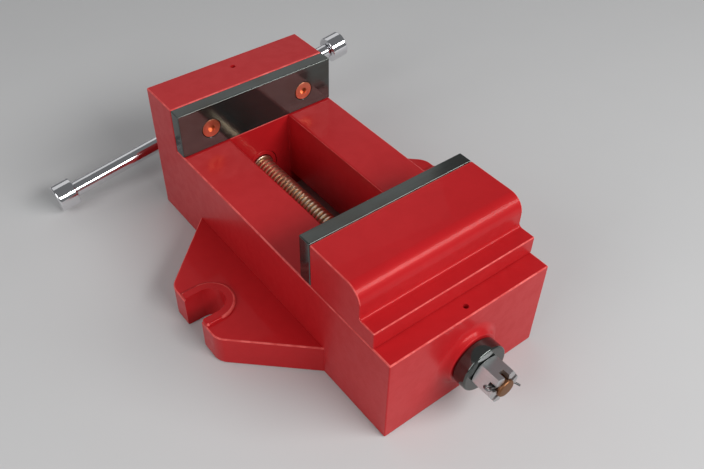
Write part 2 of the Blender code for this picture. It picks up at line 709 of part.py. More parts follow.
def make_split_pin(steel):
    """One wire: a leg through the screw, a round eye, the second leg back, both tips opened out."""
    half_pitch = (PIN_WIRE + PIN_LEG_GAP) / 2
    eye_radius = PIN_WIRE * 1.5
    neck = NUT_ACROSS_FLATS / sqrt(3) + eye_radius * 1.6
    tip_bend = PIN_WIRE * 1.3
    leg_end = NUT_ACROSS_FLATS / sqrt(3) + GAP
    tail = PIN_WIRE * 2
    bend = [
        (leg_end + tip_bend * sin(turn), half_pitch + tip_bend * (1 - cos(turn)))
        for turn in (PIN_OPENING, PIN_OPENING * 2 / 3, PIN_OPENING / 3, 0.0)
    ]
    tip = (bend[0][0] + tail * cos(PIN_OPENING), bend[0][1] + tail * sin(PIN_OPENING))
    half = [tip] + bend + [(-neck + eye_radius * 1.25, half_pitch)]
    half += arc((-neck, 0.0), eye_radius, 30, 150, 4)
    outline = half + [(-neck - eye_radius, 0.0)] + [(u, -v) for u, v in reversed(half)]
    curve = bpy.data.curves.new("split_pin", "CURVE")
    curve.dimensions = "3D"
    curve.bevel_depth = PIN_WIRE / 2
    curve.bevel_resolution = 2
    curve.use_fill_caps = True
    spline = curve.splines.new("POLY")
    spline.points.add(len(outline) - 1)
    for point, (u, v) in zip(spline.points, outline):
        point.co = (u, v, 0.0, 1.0)
    curve.materials.append(steel)
    pin = bpy.data.objects.new("split_pin", curve)
    bpy.context.scene.collection.objects.link(pin)
    pin.location = (0.0, PIN_Y, AXIS_HEIGHT)
    pin.rotation_euler = (0.0, PIN_TURN, 0.0)
    return pin


# ---------------------------------------------------------------- handle
HALF_HANDLE = HANDLE_LENGTH / 2
HANDLE_DIRECTION = Vector((cos(HANDLE_TILT), 0.0, sin(HANDLE_TILT)))
HANDLE_CENTRE = Vector((0.0, HANDLE_PLANE, AXIS_HEIGHT))


def make_handle_hole():
    reach = HANDLE_DIRECTION * HEAD_DIAMETER
    radius = HANDLE_DIAMETER / 2 + GAP
    return make_cylinder("handle_hole", radius, HANDLE_CENTRE - reach, HANDLE_CENTRE + reach, SMALL_ROUND)


def along_handle(obj, parent, side=1):
    """Lay a piece that was turned about Y along the handle's axis."""
    obj.parent = parent
    obj.rotation_euler = (0.0, 0.0, -side * pi / 2)
    return obj


def make_handle(chrome):
    carrier = bpy.data.objects.new("handle_axis", None)
    bpy.context.scene.collection.objects.link(carrier)
    carrier.location = HANDLE_CENTRE
    carrier.rotation_euler = (0.0, -HANDLE_TILT, 0.0)
    bar_end = HALF_HANDLE - KNOB_LENGTH - GAP
    chamfer = PLATE_EDGE_ROUND
    radius = HANDLE_DIAMETER / 2
    spigot_radius = SPIGOT_DIAMETER / 2
    half = [(bar_end - chamfer, radius), (bar_end, radius - chamfer), (bar_end, spigot_radius),
            (bar_end + SPIGOT_LENGTH, spigot_radius)]
    profile = [(-y, r) for y, r in reversed(half)] + half
    along_handle(finish_mesh(turned(profile, SMALL_ROUND), "handle_bar", chrome), carrier)
    knob_radius = KNOB_DIAMETER / 2
    bore = spigot_radius + GAP
    bore_end = bar_end + SPIGOT_LENGTH + GAP
    rounding = EDGE_ROUND
    for side, label in ((-1, "left"), (1, "right")):
        outside = [
            (HALF_HANDLE - KNOB_LENGTH, knob_radius - rounding),
            (HALF_HANDLE - KNOB_LENGTH + rounding, knob_radius),
            (HALF_HANDLE - rounding, knob_radius), (HALF_HANDLE, knob_radius - rounding),
        ]
        knob = finish_mesh(turned(outside, MEDIUM_ROUND), f"handle_knob_{label}", chrome)
        socket = finish_mesh(
            turned([(HALF_HANDLE - KNOB_LENGTH - OVERCUT, bore), (bore_end, bore)], SMALL_ROUND),
            f"knob_bore_{label}")
        along_handle(knob, carrier, side)
        along_handle(socket, carrier, side)
        cut(knob, socket)


# ---------------------------------------------------------------- whole vise
def build():
    for obj in list(bpy.data.objects):
        bpy.data.objects.remove(obj, do_unlink=True)

    enamel = make_material("red_enamel", (0.45, 0.015, 0.02), 0.22, 0.0)
    blackened = make_material("blackened_steel", (0.012, 0.012, 0.013), 0.35, 0.6)
    copper = make_material("copper_plate", (0.62, 0.21, 0.09), 0.35, 1.0)
    bronze = make_material("bronze", (0.50, 0.33, 0.16), 0.35, 1.0)
    steel = make_material("bright_steel", (0.55, 0.55, 0.56), 0.3, 1.0)
    chrome = make_material("chrome", (0.80, 0.80, 0.82), 0.08, 1.0)
    screw_steel = make_material("oiled_screw_steel", (0.46, 0.36, 0.26), 0.35, 1.0)

    oil_holes = make_oil_holes()
    bush_seats = make_bush_seats()
    fixed_holes = [screw_hole(f"fixed_screw_hole_{label}", x, FIXED_PLATE_FACE, 1)
                   for x, label in plate_screw_places()]
    moving_holes = [screw_hole(f"moving_screw_hole_{label}", x, MOVING_PLATE_FACE, -1)
                    for x, label in plate_screw_places()]
    bolt_holes = [make_bolt_hole(x, y, label) for x, y, label in keep_bolt_places()]

    make_base_casting(enamel, oil_holes, bush_seats, fixed_holes)
    make_bush(
        "front_bearing_bush", bronze, BOSS_FACE, SLOT_START, NEAR_BUSH_BORE, NEAR_BUSH_OUTER, oil_holes[0])
    make_bush(
        "rear_bearing_bush", bronze, SLOT_END, FAR_FACE, FAR_BUSH_BORE, FAR_BUSH_OUTER, oil_holes[1])
    make_jaw_plate("fixed_jaw_plate", blackened, FIXED_PLATE_FACE, fixed_holes)

    make_moving_jaw(enamel, moving_holes, bolt_holes)
    make_jaw_plate("moving_jaw_plate", blackened, MOVING_JAW_FACE + GAP, moving_holes)
    for x, label in plate_screw_places():
        make_plate_screw(f"fixed_plate_screw_{label}", copper, x, FIXED_PLATE_FACE, 1)
        make_plate_screw(f"moving_plate_screw_{label}", copper, x, MOVING_PLATE_FACE, -1)
    make_lead_nut(bronze, bolt_holes)
    make_keep_plate(steel, bolt_holes)
    for x, y, label in keep_bolt_places():
        make_keep_bolt(f"keep_bolt_{label}", steel, x, y)

    make_lead_screw(screw_steel, make_handle_hole(), make_pin_hole())
    make_washer("rear_thrust_washer", steel, FAR_FACE + GAP, SHOULDER_START - GAP,
                FAR_JOURNAL_DIAMETER, SHOULDER_DIAMETER, PLATE_EDGE_ROUND)
    make_washer("front_thrust_collar", blackened, COLLAR_NEAR, BOSS_FACE - GAP,
                NEAR_JOURNAL_DIAMETER, COLLAR_DIAMETER, EDGE_ROUND)
    make_castle_nut(steel)
    make_split_pin(steel)
    make_handle(chrome)


build()
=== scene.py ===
"""Looks of the bench vise: every piece modelled over its CAD node, with its finish and its stage."""
import json
from math import atan2, cos, pi, radians, sin, sqrt

import bmesh
import bpy
from bpy.props import FloatProperty, FloatVectorProperty, IntProperty, PointerProperty
from mathutils import Matrix, Vector


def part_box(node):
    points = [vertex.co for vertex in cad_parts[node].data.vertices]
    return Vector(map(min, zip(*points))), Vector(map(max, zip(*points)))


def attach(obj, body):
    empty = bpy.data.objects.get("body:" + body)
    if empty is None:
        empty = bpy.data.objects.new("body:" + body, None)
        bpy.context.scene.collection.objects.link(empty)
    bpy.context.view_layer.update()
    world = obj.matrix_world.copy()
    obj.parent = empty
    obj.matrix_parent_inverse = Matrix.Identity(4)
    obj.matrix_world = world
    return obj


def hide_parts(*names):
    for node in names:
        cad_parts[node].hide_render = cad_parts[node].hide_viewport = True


bl_info = {
    "name": "Bench Vise",
    "version": (1, 0, 0),
    "blender": (4, 5, 0),
    "location": "3D View > Sidebar > Vise",
    "description": "Models a bench vise over its packed frame and lights it on a plain stage",
    "category": "Add Mesh",
}

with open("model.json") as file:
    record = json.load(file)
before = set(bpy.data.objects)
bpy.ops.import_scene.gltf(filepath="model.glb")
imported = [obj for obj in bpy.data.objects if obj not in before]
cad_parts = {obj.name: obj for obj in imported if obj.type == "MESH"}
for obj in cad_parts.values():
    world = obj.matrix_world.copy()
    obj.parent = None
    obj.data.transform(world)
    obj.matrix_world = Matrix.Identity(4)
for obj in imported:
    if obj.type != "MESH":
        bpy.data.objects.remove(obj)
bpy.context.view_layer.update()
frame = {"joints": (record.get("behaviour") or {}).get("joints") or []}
JOINTS = {joint["name"]: joint for joint in frame["joints"]}

# ---------------------------------------------------------------- places read from the frame
SPINDLE_AXIS = Vector(JOINTS["screw_spin"]["pos_m"])
BAR_DIRECTION = Vector(JOINTS["handle_slide"]["axis"]).normalized()
ALONG = Vector((0.0, 1.0, 0.0))
UP = Vector((0.0, 0.0, 1.0))
FIT_GAP = 0.0003                # between pieces that touch
OVERCUT = 0.002                 # how far a cutter runs past the face it opens
SAME_PLACE = 0.000002           # corners nearer than this become one
RAIL_PLAY = 0.00125             # from the lead nut to the inside of a rail
KEEP_PLAY = 0.002               # from the keep plate to the side of its recess
FACE_TO_OIL_HOLE = 0.0095       # from either end of the casting
PIN_TURN = pi / 6               # of the split pin about the spindle
# Mask of a painted highlight: 1 on the narrow faces of the rounded upper edges, which the paint lightens
EDGE_HIGHLIGHT_ATTRIBUTE = "rounded_edge"     # 1 on the narrow faces of rounded edges

BED_LOW, BED_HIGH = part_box("base_casting")
FIXED_PLATE_LOW, FIXED_PLATE_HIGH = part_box("fixed_jaw_plate")
MOVING_PLATE_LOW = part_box("moving_jaw_plate")[0]
JAW_LOW, JAW_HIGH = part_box("moving_jaw")
NUT_LOW, NUT_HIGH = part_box("lead_nut")
KEEP_LOW, KEEP_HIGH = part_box("keep_plate")
NEAR_BUSH_LOW, NEAR_BUSH_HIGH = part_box("front_bearing_bush")
FAR_BUSH_LOW, FAR_BUSH_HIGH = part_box("rear_bearing_bush")

HALF_WIDTH = FIXED_PLATE_HIGH.x
RAIL_TOP = FIXED_PLATE_LOW.z - FIT_GAP
FAR_FACE = BED_HIGH.y
NEAR_OIL_HOLE = BED_LOW.y + FACE_TO_OIL_HOLE
FAR_OIL_HOLE = FAR_FACE - FACE_TO_OIL_HOLE
FIXED_JAW_FACE = FIXED_PLATE_HIGH.y + FIT_GAP
SLOT_START = NEAR_BUSH_HIGH.y
SLOT_END = FAR_BUSH_LOW.y
SLOT_HALF = NUT_HIGH.x + RAIL_PLAY
RECESS_HALF = KEEP_HIGH.x + KEEP_PLAY
RECESS_TOP = KEEP_HIGH.z + FIT_GAP
PLATE_SCREW_NODES = {
    "fixed": ("fixed_plate_screw_left", "fixed_plate_screw_right"),
    "moving": ("moving_plate_screw_left", "moving_plate_screw_right"),
}
KEEP_BOLT_NODES = ("keep_bolt_near_left", "keep_bolt_near_right", "keep_bolt_far_left", "keep_bolt_far_right")


def centre_of(node):
    low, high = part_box(node)
    return (low + high) / 2


# ---------------------------------------------------------------- settings
def size_property(name, description, default):
    return FloatProperty(
        name=name, description=description, default=default, unit="LENGTH", min=0.0, precision=5)


def share_property(name, description, default):
    return FloatProperty(
        name=name, description=description, default=default, subtype="FACTOR", min=0.0, max=1.0)


def power_property(name, default):
    return FloatProperty(
        name=name, description=f"Power of the {name.lower()}", default=default, unit="POWER", min=0.0)


def angle_property(name, description, default):
    return FloatProperty(name=name, description=description, default=radians(default), subtype="ANGLE")


def colour_property(name, description, default):
    return FloatVectorProperty(
        name=name, description=description, default=default, subtype="COLOR", size=3, min=0.0, max=1.0)


class ViseCastingSettings(bpy.types.PropertyGroup):
    """Sizes and colour of the two enamelled castings."""

    enamel: colour_property("Enamel", "Colour of the paint on the castings", (0.50, 0.014, 0.018))
    shade: colour_property("Enamel shade", "Darker tone that drifts through the paint", (0.42, 0.010, 0.013))
    # Painted highlight: a lighter red laid on the rounded upper edges, where the light from above catches
    # them
    edge_highlight: colour_property("Edge highlight", "Painted highlight on the upper edges", (0.95, 0.20, 0.18))
    gloss: share_property("Clear gloss", "How much clear gloss lies on the paint", 0.10)
    edge: size_property("Edge round", "Radius of the cast edges", 0.0007)
    boss_height: size_property("Boss height", "How far the bearing boss stands out", 0.004)
    boss_radius: size_property("Boss radius", "Radius of the bearing boss", 0.015)
    boss_flare: size_property("Boss flare", "Concave radius at the foot of the boss", 0.0045)
    lug_reach: size_property("Lug reach", "Centre plane to a lug's outer edge", 0.0895)
    lug_height: size_property("Lug height", "Thickness of the bolting lugs", 0.019)
    lug_root: size_property("Lug root", "Length of a lug along the bed", 0.1195)
    lug_tip: size_property("Lug tip", "Length of a lug along its outer edge", 0.0445)
    lug_corner: size_property("Lug corner", "Radius of the lug's outer corners", 0.010)
    slot_width: size_property("Bolt slot", "Width of the bolting slots", 0.0175)
    slot_centre: size_property("Slot centre", "Centre plane to the slot's round end", 0.080)
    slot_line: FloatProperty(
        name="Slot line", description="Where the slots lie along the bed", default=-0.0065,
        unit="LENGTH", precision=5)
    rim_width: size_property("Rim width", "Width of the raised rim round a slot", 0.005)
    rim_top: size_property("Rim top", "Height of the rim above the surface the bed stands on", 0.0208)
    rim_edge: size_property("Rim edge", "Soft round of the rim", 0.0012)
    nose: size_property("Nose radius", "Round of the sliding jaw's near top edge", 0.009)
    step_depth: size_property("Step depth", "Low step in front of the sliding jaw", 0.0102)
    step_height: size_property("Step height", "Height of the low step", 0.0105)
    hollow: size_property("Hollow radius", "Fillet at the foot of the upright face", 0.002)
    oil_hole: size_property("Oil hole", "Diameter of the oil holes", 0.003)
    guide_proud: size_property("Guide length", "How far the guide block runs past the lead nut", 0.00375)


class ViseFastenerSettings(bpy.types.PropertyGroup):
    """Jaw plates, screws, bushes and bolts."""

    plate: colour_property("Jaw plate", "Blackened steel of the jaw plates", (0.10, 0.11, 0.105))
    copper: colour_property("Plate screws", "Copper plate of the screws", (0.86, 0.40, 0.24))
    bronze: colour_property("Bronze", "Bushes and lead nut", (0.34, 0.19, 0.09))
    steel: colour_property("Steel", "Bright machined steel", (0.72, 0.72, 0.73))
    plate_edge: size_property("Plate edge", "Chamfer round the jaw plates", 0.0006)
    screw_lip: size_property("Head lip", "Straight part of a countersunk head", 0.0006)
    screw_shank: size_property("Screw shank", "Diameter of a plate screw", 0.006)
    socket: size_property("Socket", "Across the flats of the hexagon sockets", 0.004)
    bolt_shank: size_property("Keep bolt shank", "Diameter of the keep bolts", 0.005)
    bolt_head: size_property("Keep bolt head", "Height of the keep bolts' heads", 0.005)


class ViseSpindleSettings(bpy.types.PropertyGroup):
    """Lead screw, its end fittings and the handle."""

    screw: colour_property("Lead screw", "Oiled, brass-tinted steel", (0.95, 0.76, 0.58))
    stained: colour_property("Stained end", "Near end, brown with heat and oil", (0.24, 0.10, 0.055))
    bare: colour_property("Bare steel", "Far end of the spindle", (0.56, 0.54, 0.51))
    grime: colour_property("Thread grime", "Old oil in the root of the thread", (0.30, 0.16, 0.07))
    chrome: colour_property("Chrome", "Handle bar and knobs", (0.83, 0.83, 0.85))
    thread: size_property("Thread", "Outside diameter of the lead screw", 0.012)
    depth: size_property("Thread depth", "Height of the thread form", 0.0016)
    pitch: size_property("Pitch", "Travel for one turn", 0.003)
    steps: IntProperty(name="Thread steps", description="Faces round one turn", default=36, min=12)
    near_journal: size_property("Near journal", "Diameter in the near bush", 0.0099)
    far_journal: size_property("Far journal", "Diameter in the far bush", 0.014)
    neck: size_property("Neck", "Diameter between shoulder and head", 0.016)
    head: size_property("Head", "Diameter of the head that holds the bar", 0.022)
    head_length: size_property("Head length", "Length of the head", 0.0246)
    shoulder_length: size_property("Shoulder", "Length of the shoulder", 0.004)
    bar: size_property("Bar", "Diameter of the handle bar", 0.0096)
    knob: size_property("Knob", "Diameter of the handle knobs", 0.017)
    knob_length: size_property("Knob length", "Length of a handle knob", 0.012)
    nut_flats: size_property("Nut", "Across the flats of the castle nut", 0.0165)
    nut_slot: size_property("Nut slot", "Width of the castle nut's slots", 0.003)
    nut_slot_depth: size_property("Nut slot depth", "Depth of the castle nut's slots", 0.004)
    pin_wire: size_property("Pin wire", "Diameter of the split pin's wire", 0.0011)
    pin_hole: size_property("Pin hole", "Diameter of the split pin's hole", 0.003)


class ViseStageSettings(bpy.types.PropertyGroup):
    """Floor, lights and camera."""

    floor: colour_property("Floor", "Plain pale floor", (0.60, 0.60, 0.60))
    surround: share_property("Surround", "Brightness of the room", 0.16)
    key: power_property("Key light", 12.5)
    fill: power_property("Fill light", 3.0)
    back: power_property("Back light", 2.0)
    lens: FloatProperty(name="Lens", description="Focal length", default=40.7, unit="CAMERA", min=1.0)
    azimuth: angle_property("Azimuth", "Camera's side", -38.7)
    elevation: angle_property("Elevation", "Camera's height", 43.9)
    roll: angle_property("Roll", "Camera's lean", 1.26)
    distance: size_property("Distance", "Camera to what it looks at", 0.4203)


class ViseSettings(bpy.types.PropertyGroup):
    """All settings of the vise."""

    casting: PointerProperty(type=ViseCastingSettings)
    fastener: PointerProperty(type=ViseFastenerSettings)
    spindle: PointerProperty(type=ViseSpindleSettings)
    stage: PointerProperty(type=ViseStageSettings)


def settings():
    return bpy.context.scene.vise_settings


# ---------------------------------------------------------------- modelling by hand, in code
def open_mesh(obj):
    """One object alone in edit mode."""
    bpy.ops.object.select_all(action="DESELECT")
    obj.select_set(True)
    bpy.context.view_layer.objects.active = obj
    bpy.ops.object.mode_set(mode="EDIT")
    bpy.ops.mesh.select_mode(type="VERT")


def close_mesh():
    bpy.ops.object.mode_set(mode="OBJECT")


def pick(kind, test):
    """In edit mode, select just the vertices, edges or faces that pass a test."""
    bpy.ops.mesh.select_mode(type=kind)
    bpy.ops.mesh.select_all(action="DESELECT")
    mesh = bpy.context.edit_object.data
    bm = bmesh.from_edit_mesh(mesh)
    for item in {"VERT": bm.verts, "EDGE": bm.edges, "FACE": bm.faces}[kind]:
        if test(item):
            item.select_set(True)
    bmesh.update_edit_mesh(mesh)


def middle(item):
    """Middle of an edge or a face."""
    return sum((v.co for v in item.verts), Vector()) / len(item.verts)


def runs_along(edge, direction):
    return abs((edge.verts[1].co - edge.verts[0].co).normalized().dot(direction)) > 0.999


def extrude_picked(vector):
    bpy.ops.mesh.extrude_region_move(TRANSFORM_OT_translate={"value": vector})


def name_piece(name):
    obj = bpy.context.view_layer.objects.active
    obj.name = name
    obj.data.name = name
    return obj


def settle(obj):
    """Put a piece's place, turn and scale into its mesh."""
    bpy.ops.object.select_all(action="DESELECT")
    obj.select_set(True)
    bpy.context.view_layer.objects.active = obj
    bpy.ops.object.transform_apply(location=True, rotation=True, scale=True)
    return obj


def add_block(name, low, high):
    low = Vector(low)
    high = Vector(high)
    bpy.ops.object.select_all(action="DESELECT")
    bpy.ops.mesh.primitive_cube_add(size=1.0, location=(low + high) / 2, scale=high - low)
    return settle(name_piece(name))


def place(obj, origin, direction=ALONG):
    """Turn a piece that was drawn along +Y into another direction, and move it to its origin."""
    turn = ALONG.rotation_difference(Vector(direction)).to_matrix().to_4x4()
    obj.matrix_world = Matrix.Translation(origin) @ turn
    return settle(obj)


def on_axis(obj):
    """Raise a piece that was turned about Y to the spindle's axis."""
    return place(obj, (0.0, 0.0, SPINDLE_AXIS.z))


def draw_chain(name, points):
    """A chain of edges: one vertex, extruded from point to point."""
    bpy.ops.object.select_all(action="DESELECT")
    bpy.ops.mesh.primitive_plane_add(size=1.0)
    obj = name_piece(name)
    open_mesh(obj)
    bpy.ops.mesh.select_all(action="SELECT")
    bpy.ops.mesh.merge(type="CENTER")
    bpy.ops.transform.translate(value=points[0])
    for here, there in zip(points, points[1:]):
        bpy.ops.mesh.extrude_vertices_move(TRANSFORM_OT_translate={"value": Vector(there) - Vector(here)})
    close_mesh()
    return obj


def turn_piece(name, profile, steps=64, ring=False):
    """Spin a profile of (along, radius) points about the Y axis; a ring's profile is a closed loop."""
    obj = draw_chain(name, [(radius, along, 0.0) for along, radius in profile])
    open_mesh(obj)
    if ring:
        ends = {0, len(profile) - 1}
        pick("VERT", lambda v: v.index in ends)
        bpy.ops.mesh.edge_face_add()
    bpy.ops.mesh.select_all(action="SELECT")
    bpy.ops.mesh.spin(steps=steps, angle=2 * pi, center=(0, 0, 0), axis=ALONG)
    bpy.ops.mesh.select_all(action="SELECT")
    bpy.ops.mesh.remove_doubles(threshold=1e-6)
    bpy.ops.mesh.normals_make_consistent(inside=False)
    close_mesh()
    return obj


def corner(along, radius, size, start, end, steps=4):
    """Arc that rounds a corner of a turned profile; its centre is given, its angles in degrees."""
    turns = [radians(start + (end - start) * i / steps) for i in range(steps + 1)]
    return [(along + size * sin(a), radius + size * cos(a)) for a in turns]


def tube(near, far, inner, outer, size):
    """Profile of a ring with rounded outer rims and small inner chamfers."""
    lead_in = size / 2
    return (
        [(near + lead_in, inner), (near, inner + lead_in)]
        + corner(near + size, outer - size, size, -90, 0)
        + corner(far - size, outer - size, size, 0, 90)
        + [(far, inner + lead_in), (far - lead_in, inner)]
    )


def add_rod(name, radius, start, end, steps=48):
    """A plain rod between two points, to cut with."""
    start = Vector(start)
    end = Vector(end)
    length = (end - start).length
    rod = turn_piece(name, [(0.0, 0.0), (0.0, radius), (length, radius), (length, 0.0)], steps)
    return place(rod, start, end - start)


def add_axis_rod(name, radius, near, far):
    """A rod on the spindle's axis, to cut with."""
    return add_rod(name, radius, (0.0, near, SPINDLE_AXIS.z), (0.0, far, SPINDLE_AXIS.z))


def add_hexagon(name, across_flats, near, far):
    """A hexagonal prism along +Y, corners to the sides."""
    bpy.ops.object.select_all(action="DESELECT")
    bpy.ops.mesh.primitive_cylinder_add(
        vertices=6, radius=across_flats / sqrt(3), depth=far - near,
        location=(0.0, (near + far) / 2, 0.0), rotation=(pi / 2, pi / 6, 0.0))
    return settle(name_piece(name))


def apply_modifier(obj, modifier):
    bpy.ops.object.select_all(action="DESELECT")
    obj.select_set(True)
    bpy.context.view_layer.objects.active = obj
    bpy.ops.object.modifier_apply(modifier=modifier.name)


def mark_highlight_edges(obj, width, plain_radius=0.0):
    """Give the narrow faces of rounded upper edges their own value, the mask of a painted highlight in the
    paint; none near the spindle.
    """
    bm = bmesh.new()
    bm.from_mesh(obj.data)
    marks = bm.faces.layers.float.new(EDGE_HIGHLIGHT_ATTRIBUTE)
    for face in bm.faces:
        narrow = 2 * face.calc_area() < width * face.calc_perimeter()
        longest = max(edge.calc_length() for edge in face.edges)
        sides = [edge for edge in face.edges if edge.calc_length() > longest / 2]
        outer = all(edge.calc_face_angle_signed() > -0.01 for edge in sides)
        offset = face.calc_center_median() - SPINDLE_AXIS
        plain = Vector((offset.x, offset.z)).length < plain_radius
        # Only upward-facing rounds are marked, where the light from above catches them: a painted highlight,
        # not wear
        face[marks] = 1.0 if narrow and outer and face.normal.z > 0.15 and not plain else 0.0
    bm.to_mesh(obj.data)
    bm.free()


def combine(obj, other, operation):
    """Boolean of two pieces, with the slivers that it leaves merged away."""
    modifier = obj.modifiers.new(operation.title(), "BOOLEAN")
    modifier.operation = operation
    modifier.solver = "EXACT"
    modifier.object = other
    apply_modifier(obj, modifier)
    bpy.data.objects.remove(other)
    open_mesh(obj)
    bpy.ops.mesh.select_all(action="SELECT")
    bpy.ops.mesh.remove_doubles(threshold=SAME_PLACE)
    bpy.ops.mesh.dissolve_degenerate(threshold=SAME_PLACE)
    close_mesh()


def carve(obj, *cutters):
    for cutter in cutters:
        combine(obj, cutter, "DIFFERENCE")


def fuse(obj, *others):
    for other in others:
        combine(obj, other, "UNION")


def round_edges(obj, width, segments=3, angle=30.0):
    modifier = obj.modifiers.new("Rounding", "BEVEL")
    modifier.width = width
    modifier.segments = segments
    modifier.limit_method = "ANGLE"
    modifier.angle_limit = radians(angle)
    modifier.miter_outer = "MITER_ARC"
    apply_modifier(obj, modifier)


def round_picked(width, segments):
    """In edit mode, round the selected edges."""
    bpy.ops.mesh.bevel(offset=width, segments=segments, affect="EDGES")


def copy_piece(obj, name, matrix):
    """A copy with its own mesh, moved by a matrix."""
    bpy.ops.object.select_all(action="DESELECT")
    obj.select_set(True)
    bpy.context.view_layer.objects.active = obj
    bpy.ops.object.duplicate()
    twin = name_piece(name)
    twin.matrix_world = matrix
    return settle(twin)


def finish_piece(obj, material, body, slot, *nodes, angle=32.0):
    """Shade a piece, give it its finish, and let it ride in place of its CAD nodes."""
    obj.data.materials.clear()
    obj.data.materials.append(material)
    bpy.ops.object.select_all(action="DESELECT")
    obj.select_set(True)
    bpy.context.view_layer.objects.active = obj
    bpy.ops.object.shade_smooth_by_angle(angle=radians(angle))
    weigh = obj.modifiers.new("Flat faces stay flat", "WEIGHTED_NORMAL")
    weigh.keep_sharp = True
    apply_modifier(obj, weigh)
    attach(obj, body)
    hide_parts(*nodes)
    return obj


# ---------------------------------------------------------------- finishes
class Number:
    """A number in a material; arithmetic on it adds Math nodes."""

    def __init__(self, tree, socket):
        self.tree = tree
        self.socket = socket

    def join(self, operation, first, second):
        node = self.tree.nodes.new("ShaderNodeMath")
        node.operation = operation
        for socket, term in zip(node.inputs, (first, second)):
            if isinstance(term, Number):
                self.tree.links.new(term.socket, socket)
            else:
                socket.default_value = term
        return Number(self.tree, node.outputs[0])

    def __add__(self, other):
        return self.join("ADD", self, other)

    def __radd__(self, other):
        return self.join("ADD", other, self)

    def __sub__(self, other):
        return self.join("SUBTRACT", self, other)

    def __rsub__(self, other):
        return self.join("SUBTRACT", other, self)

    def __mul__(self, other):
        return self.join("MULTIPLY", self, other)

    def __rmul__(self, other):
        return self.join("MULTIPLY", other, self)


class Finish:
    """A material being made, with the constants of its shader."""

    def __init__(self, name, constants):
        self.material = bpy.data.materials.new(f"{name}_finish")
        self.material.use_nodes = True
        self.tree = self.material.node_tree
        self.shader = self.tree.nodes["Principled BSDF"]
        for socket, value in constants.items():
            self.shader.inputs[socket].default_value = value
        self.place = self.node("ShaderNodeTexCoord", output="Object")

    def node(self, kind, output=0, settings=None, **sockets):
        """Add a node: its settings first, then its sockets, by name or as i0, i1 for a place in the list."""
        made = self.tree.nodes.new(kind)
        for name, value in (settings or {}).items():
            if name == "stops":
                self.set_stops(made.color_ramp, value)
            else:
                setattr(made, name, value)
        for name, value in sockets.items():
            socket = made.inputs[int(name[1:])] if name[1:].isdigit() else made.inputs[name]
            self.feed(socket, value)
        return Number(self.tree, made.outputs[output])

    def set_stops(self, ramp, stops):
        while len(ramp.elements) < len(stops):
            ramp.elements.new(1.0)
        for element, (position, grey) in zip(ramp.elements, stops):
            element.position = position
            element.color = (grey, grey, grey, 1.0)

    def feed(self, socket, value):
        if isinstance(value, Number):
            self.tree.links.new(value.socket, socket)
        elif socket.type == "RGBA" and len(value) == 3:
            socket.default_value = (*value, 1.0)
        else:
            socket.default_value = value

    def shade(self, **sockets):
        names = {"colour": "Base Color", "roughness": "Roughness", "normal": "Normal"}
        for name, value in sockets.items():
            self.feed(self.shader.inputs[names[name]], value)
        return self.material

    def noise(self, scale, detail=2.0, roughness=0.5, vector=None):
        return self.node(
            "ShaderNodeTexNoise", Vector=vector or self.place,
            Scale=scale, Detail=detail, Roughness=roughness)

    def ramp(self, value, *stops):
        return self.node("ShaderNodeValToRGB", settings={"stops": stops}, Fac=value)

    def mix(self, factor, first, second):
        return self.node("ShaderNodeMix", 2, {"data_type": "RGBA"}, i0=factor, i6=first, i7=second)

    def stretched(self, scale):
        """Object coordinates stretched, for grinding and turning marks."""
        return self.node("ShaderNodeMapping", Vector=self.place, Scale=scale)

    def bump(self, height, depth, strength=1.0):
        return self.node("ShaderNodeBump", Height=height, Distance=depth, Strength=strength)


def scaled(colour, factor):
    return tuple(min(1.0, channel * factor) for channel in colour)


def enamel_finish():
    """Glossy red enamel: slow drift of tone, orange peel, and a painted highlight on the upper rounded edges.
    """
    look = settings().casting
    paint = Finish("red_enamel", {
        "Coat Weight": look.gloss, "Coat Roughness": 0.03, "Specular IOR Level": 0.42,
        "Specular Tint": (1.0, 0.20, 0.18, 1.0)})
    drift = paint.ramp(paint.noise(14.0, 3.0), (0.35, 0.0), (0.68, 1.0))
    mottle = paint.ramp(paint.noise(160.0, 4.0, 0.6), (0.42, 0.0), (0.60, 1.0))
    base = paint.mix(drift * 0.55 + mottle * 0.2, tuple(look.enamel), tuple(look.shade))
    edge_highlight_mask = paint.node("ShaderNodeAttribute", "Fac", {"attribute_name": EDGE_HIGHLIGHT_ATTRIBUTE})
    # Painted highlight: the marked upper edges mixed toward a lighter red, broken up by the mottle
    colour = paint.mix(edge_highlight_mask * (0.30 + mottle * 0.35), base, tuple(look.edge_highlight))
    peel = paint.noise(420.0, 2.0)
    height = peel * 0.7 + paint.noise(95.0, 1.0) * 0.6
    return paint.shade(
        colour=colour, roughness=0.29 + mottle * 0.06 + drift * 0.05, normal=paint.bump(height, 0.00006))


def blackened_finish():
    """Blackened, ground steel: straight grinding marks along the jaw and a faint brown bloom."""
    look = settings().fastener
    steel = Finish("blackened_steel", {"Metallic": 0.85, "Specular IOR Level": 0.4})
    grind = steel.noise(300.0, 3.0, 0.6, steel.stretched((0.12, 6.0, 6.0)))
    bloom = steel.ramp(steel.noise(45.0, 4.0), (0.45, 0.0), (0.75, 1.0))
    tone = steel.mix(grind, scaled(look.plate, 0.75), scaled(look.plate, 1.35))
    colour = steel.mix(bloom * 0.5, tone, (0.075, 0.058, 0.045))
    return steel.shade(
        colour=colour, roughness=0.06 + grind * 0.06 + bloom * 0.05, normal=steel.bump(grind, 0.000003))


def metal_finish(name, colour, roughness, tint, marks, depth):
    """Bare metal: fine marks stretched one way, cloudy tarnish and scattered scratches."""
    metal = Finish(name, {"Metallic": 1.0})
    lines = metal.noise(420.0, 3.0, 0.6, metal.stretched(marks))
    cloud = metal.ramp(metal.noise(70.0, 4.0), (0.40, 0.0), (0.72, 1.0))
    tone = metal.mix(lines * 0.6, colour, scaled(colour, 0.72))
    stained = metal.mix(cloud * 0.45, tone, tint)
    return metal.shade(
        colour=stained, roughness=roughness + lines * 0.12 + cloud * 0.10, normal=metal.bump(lines, depth))


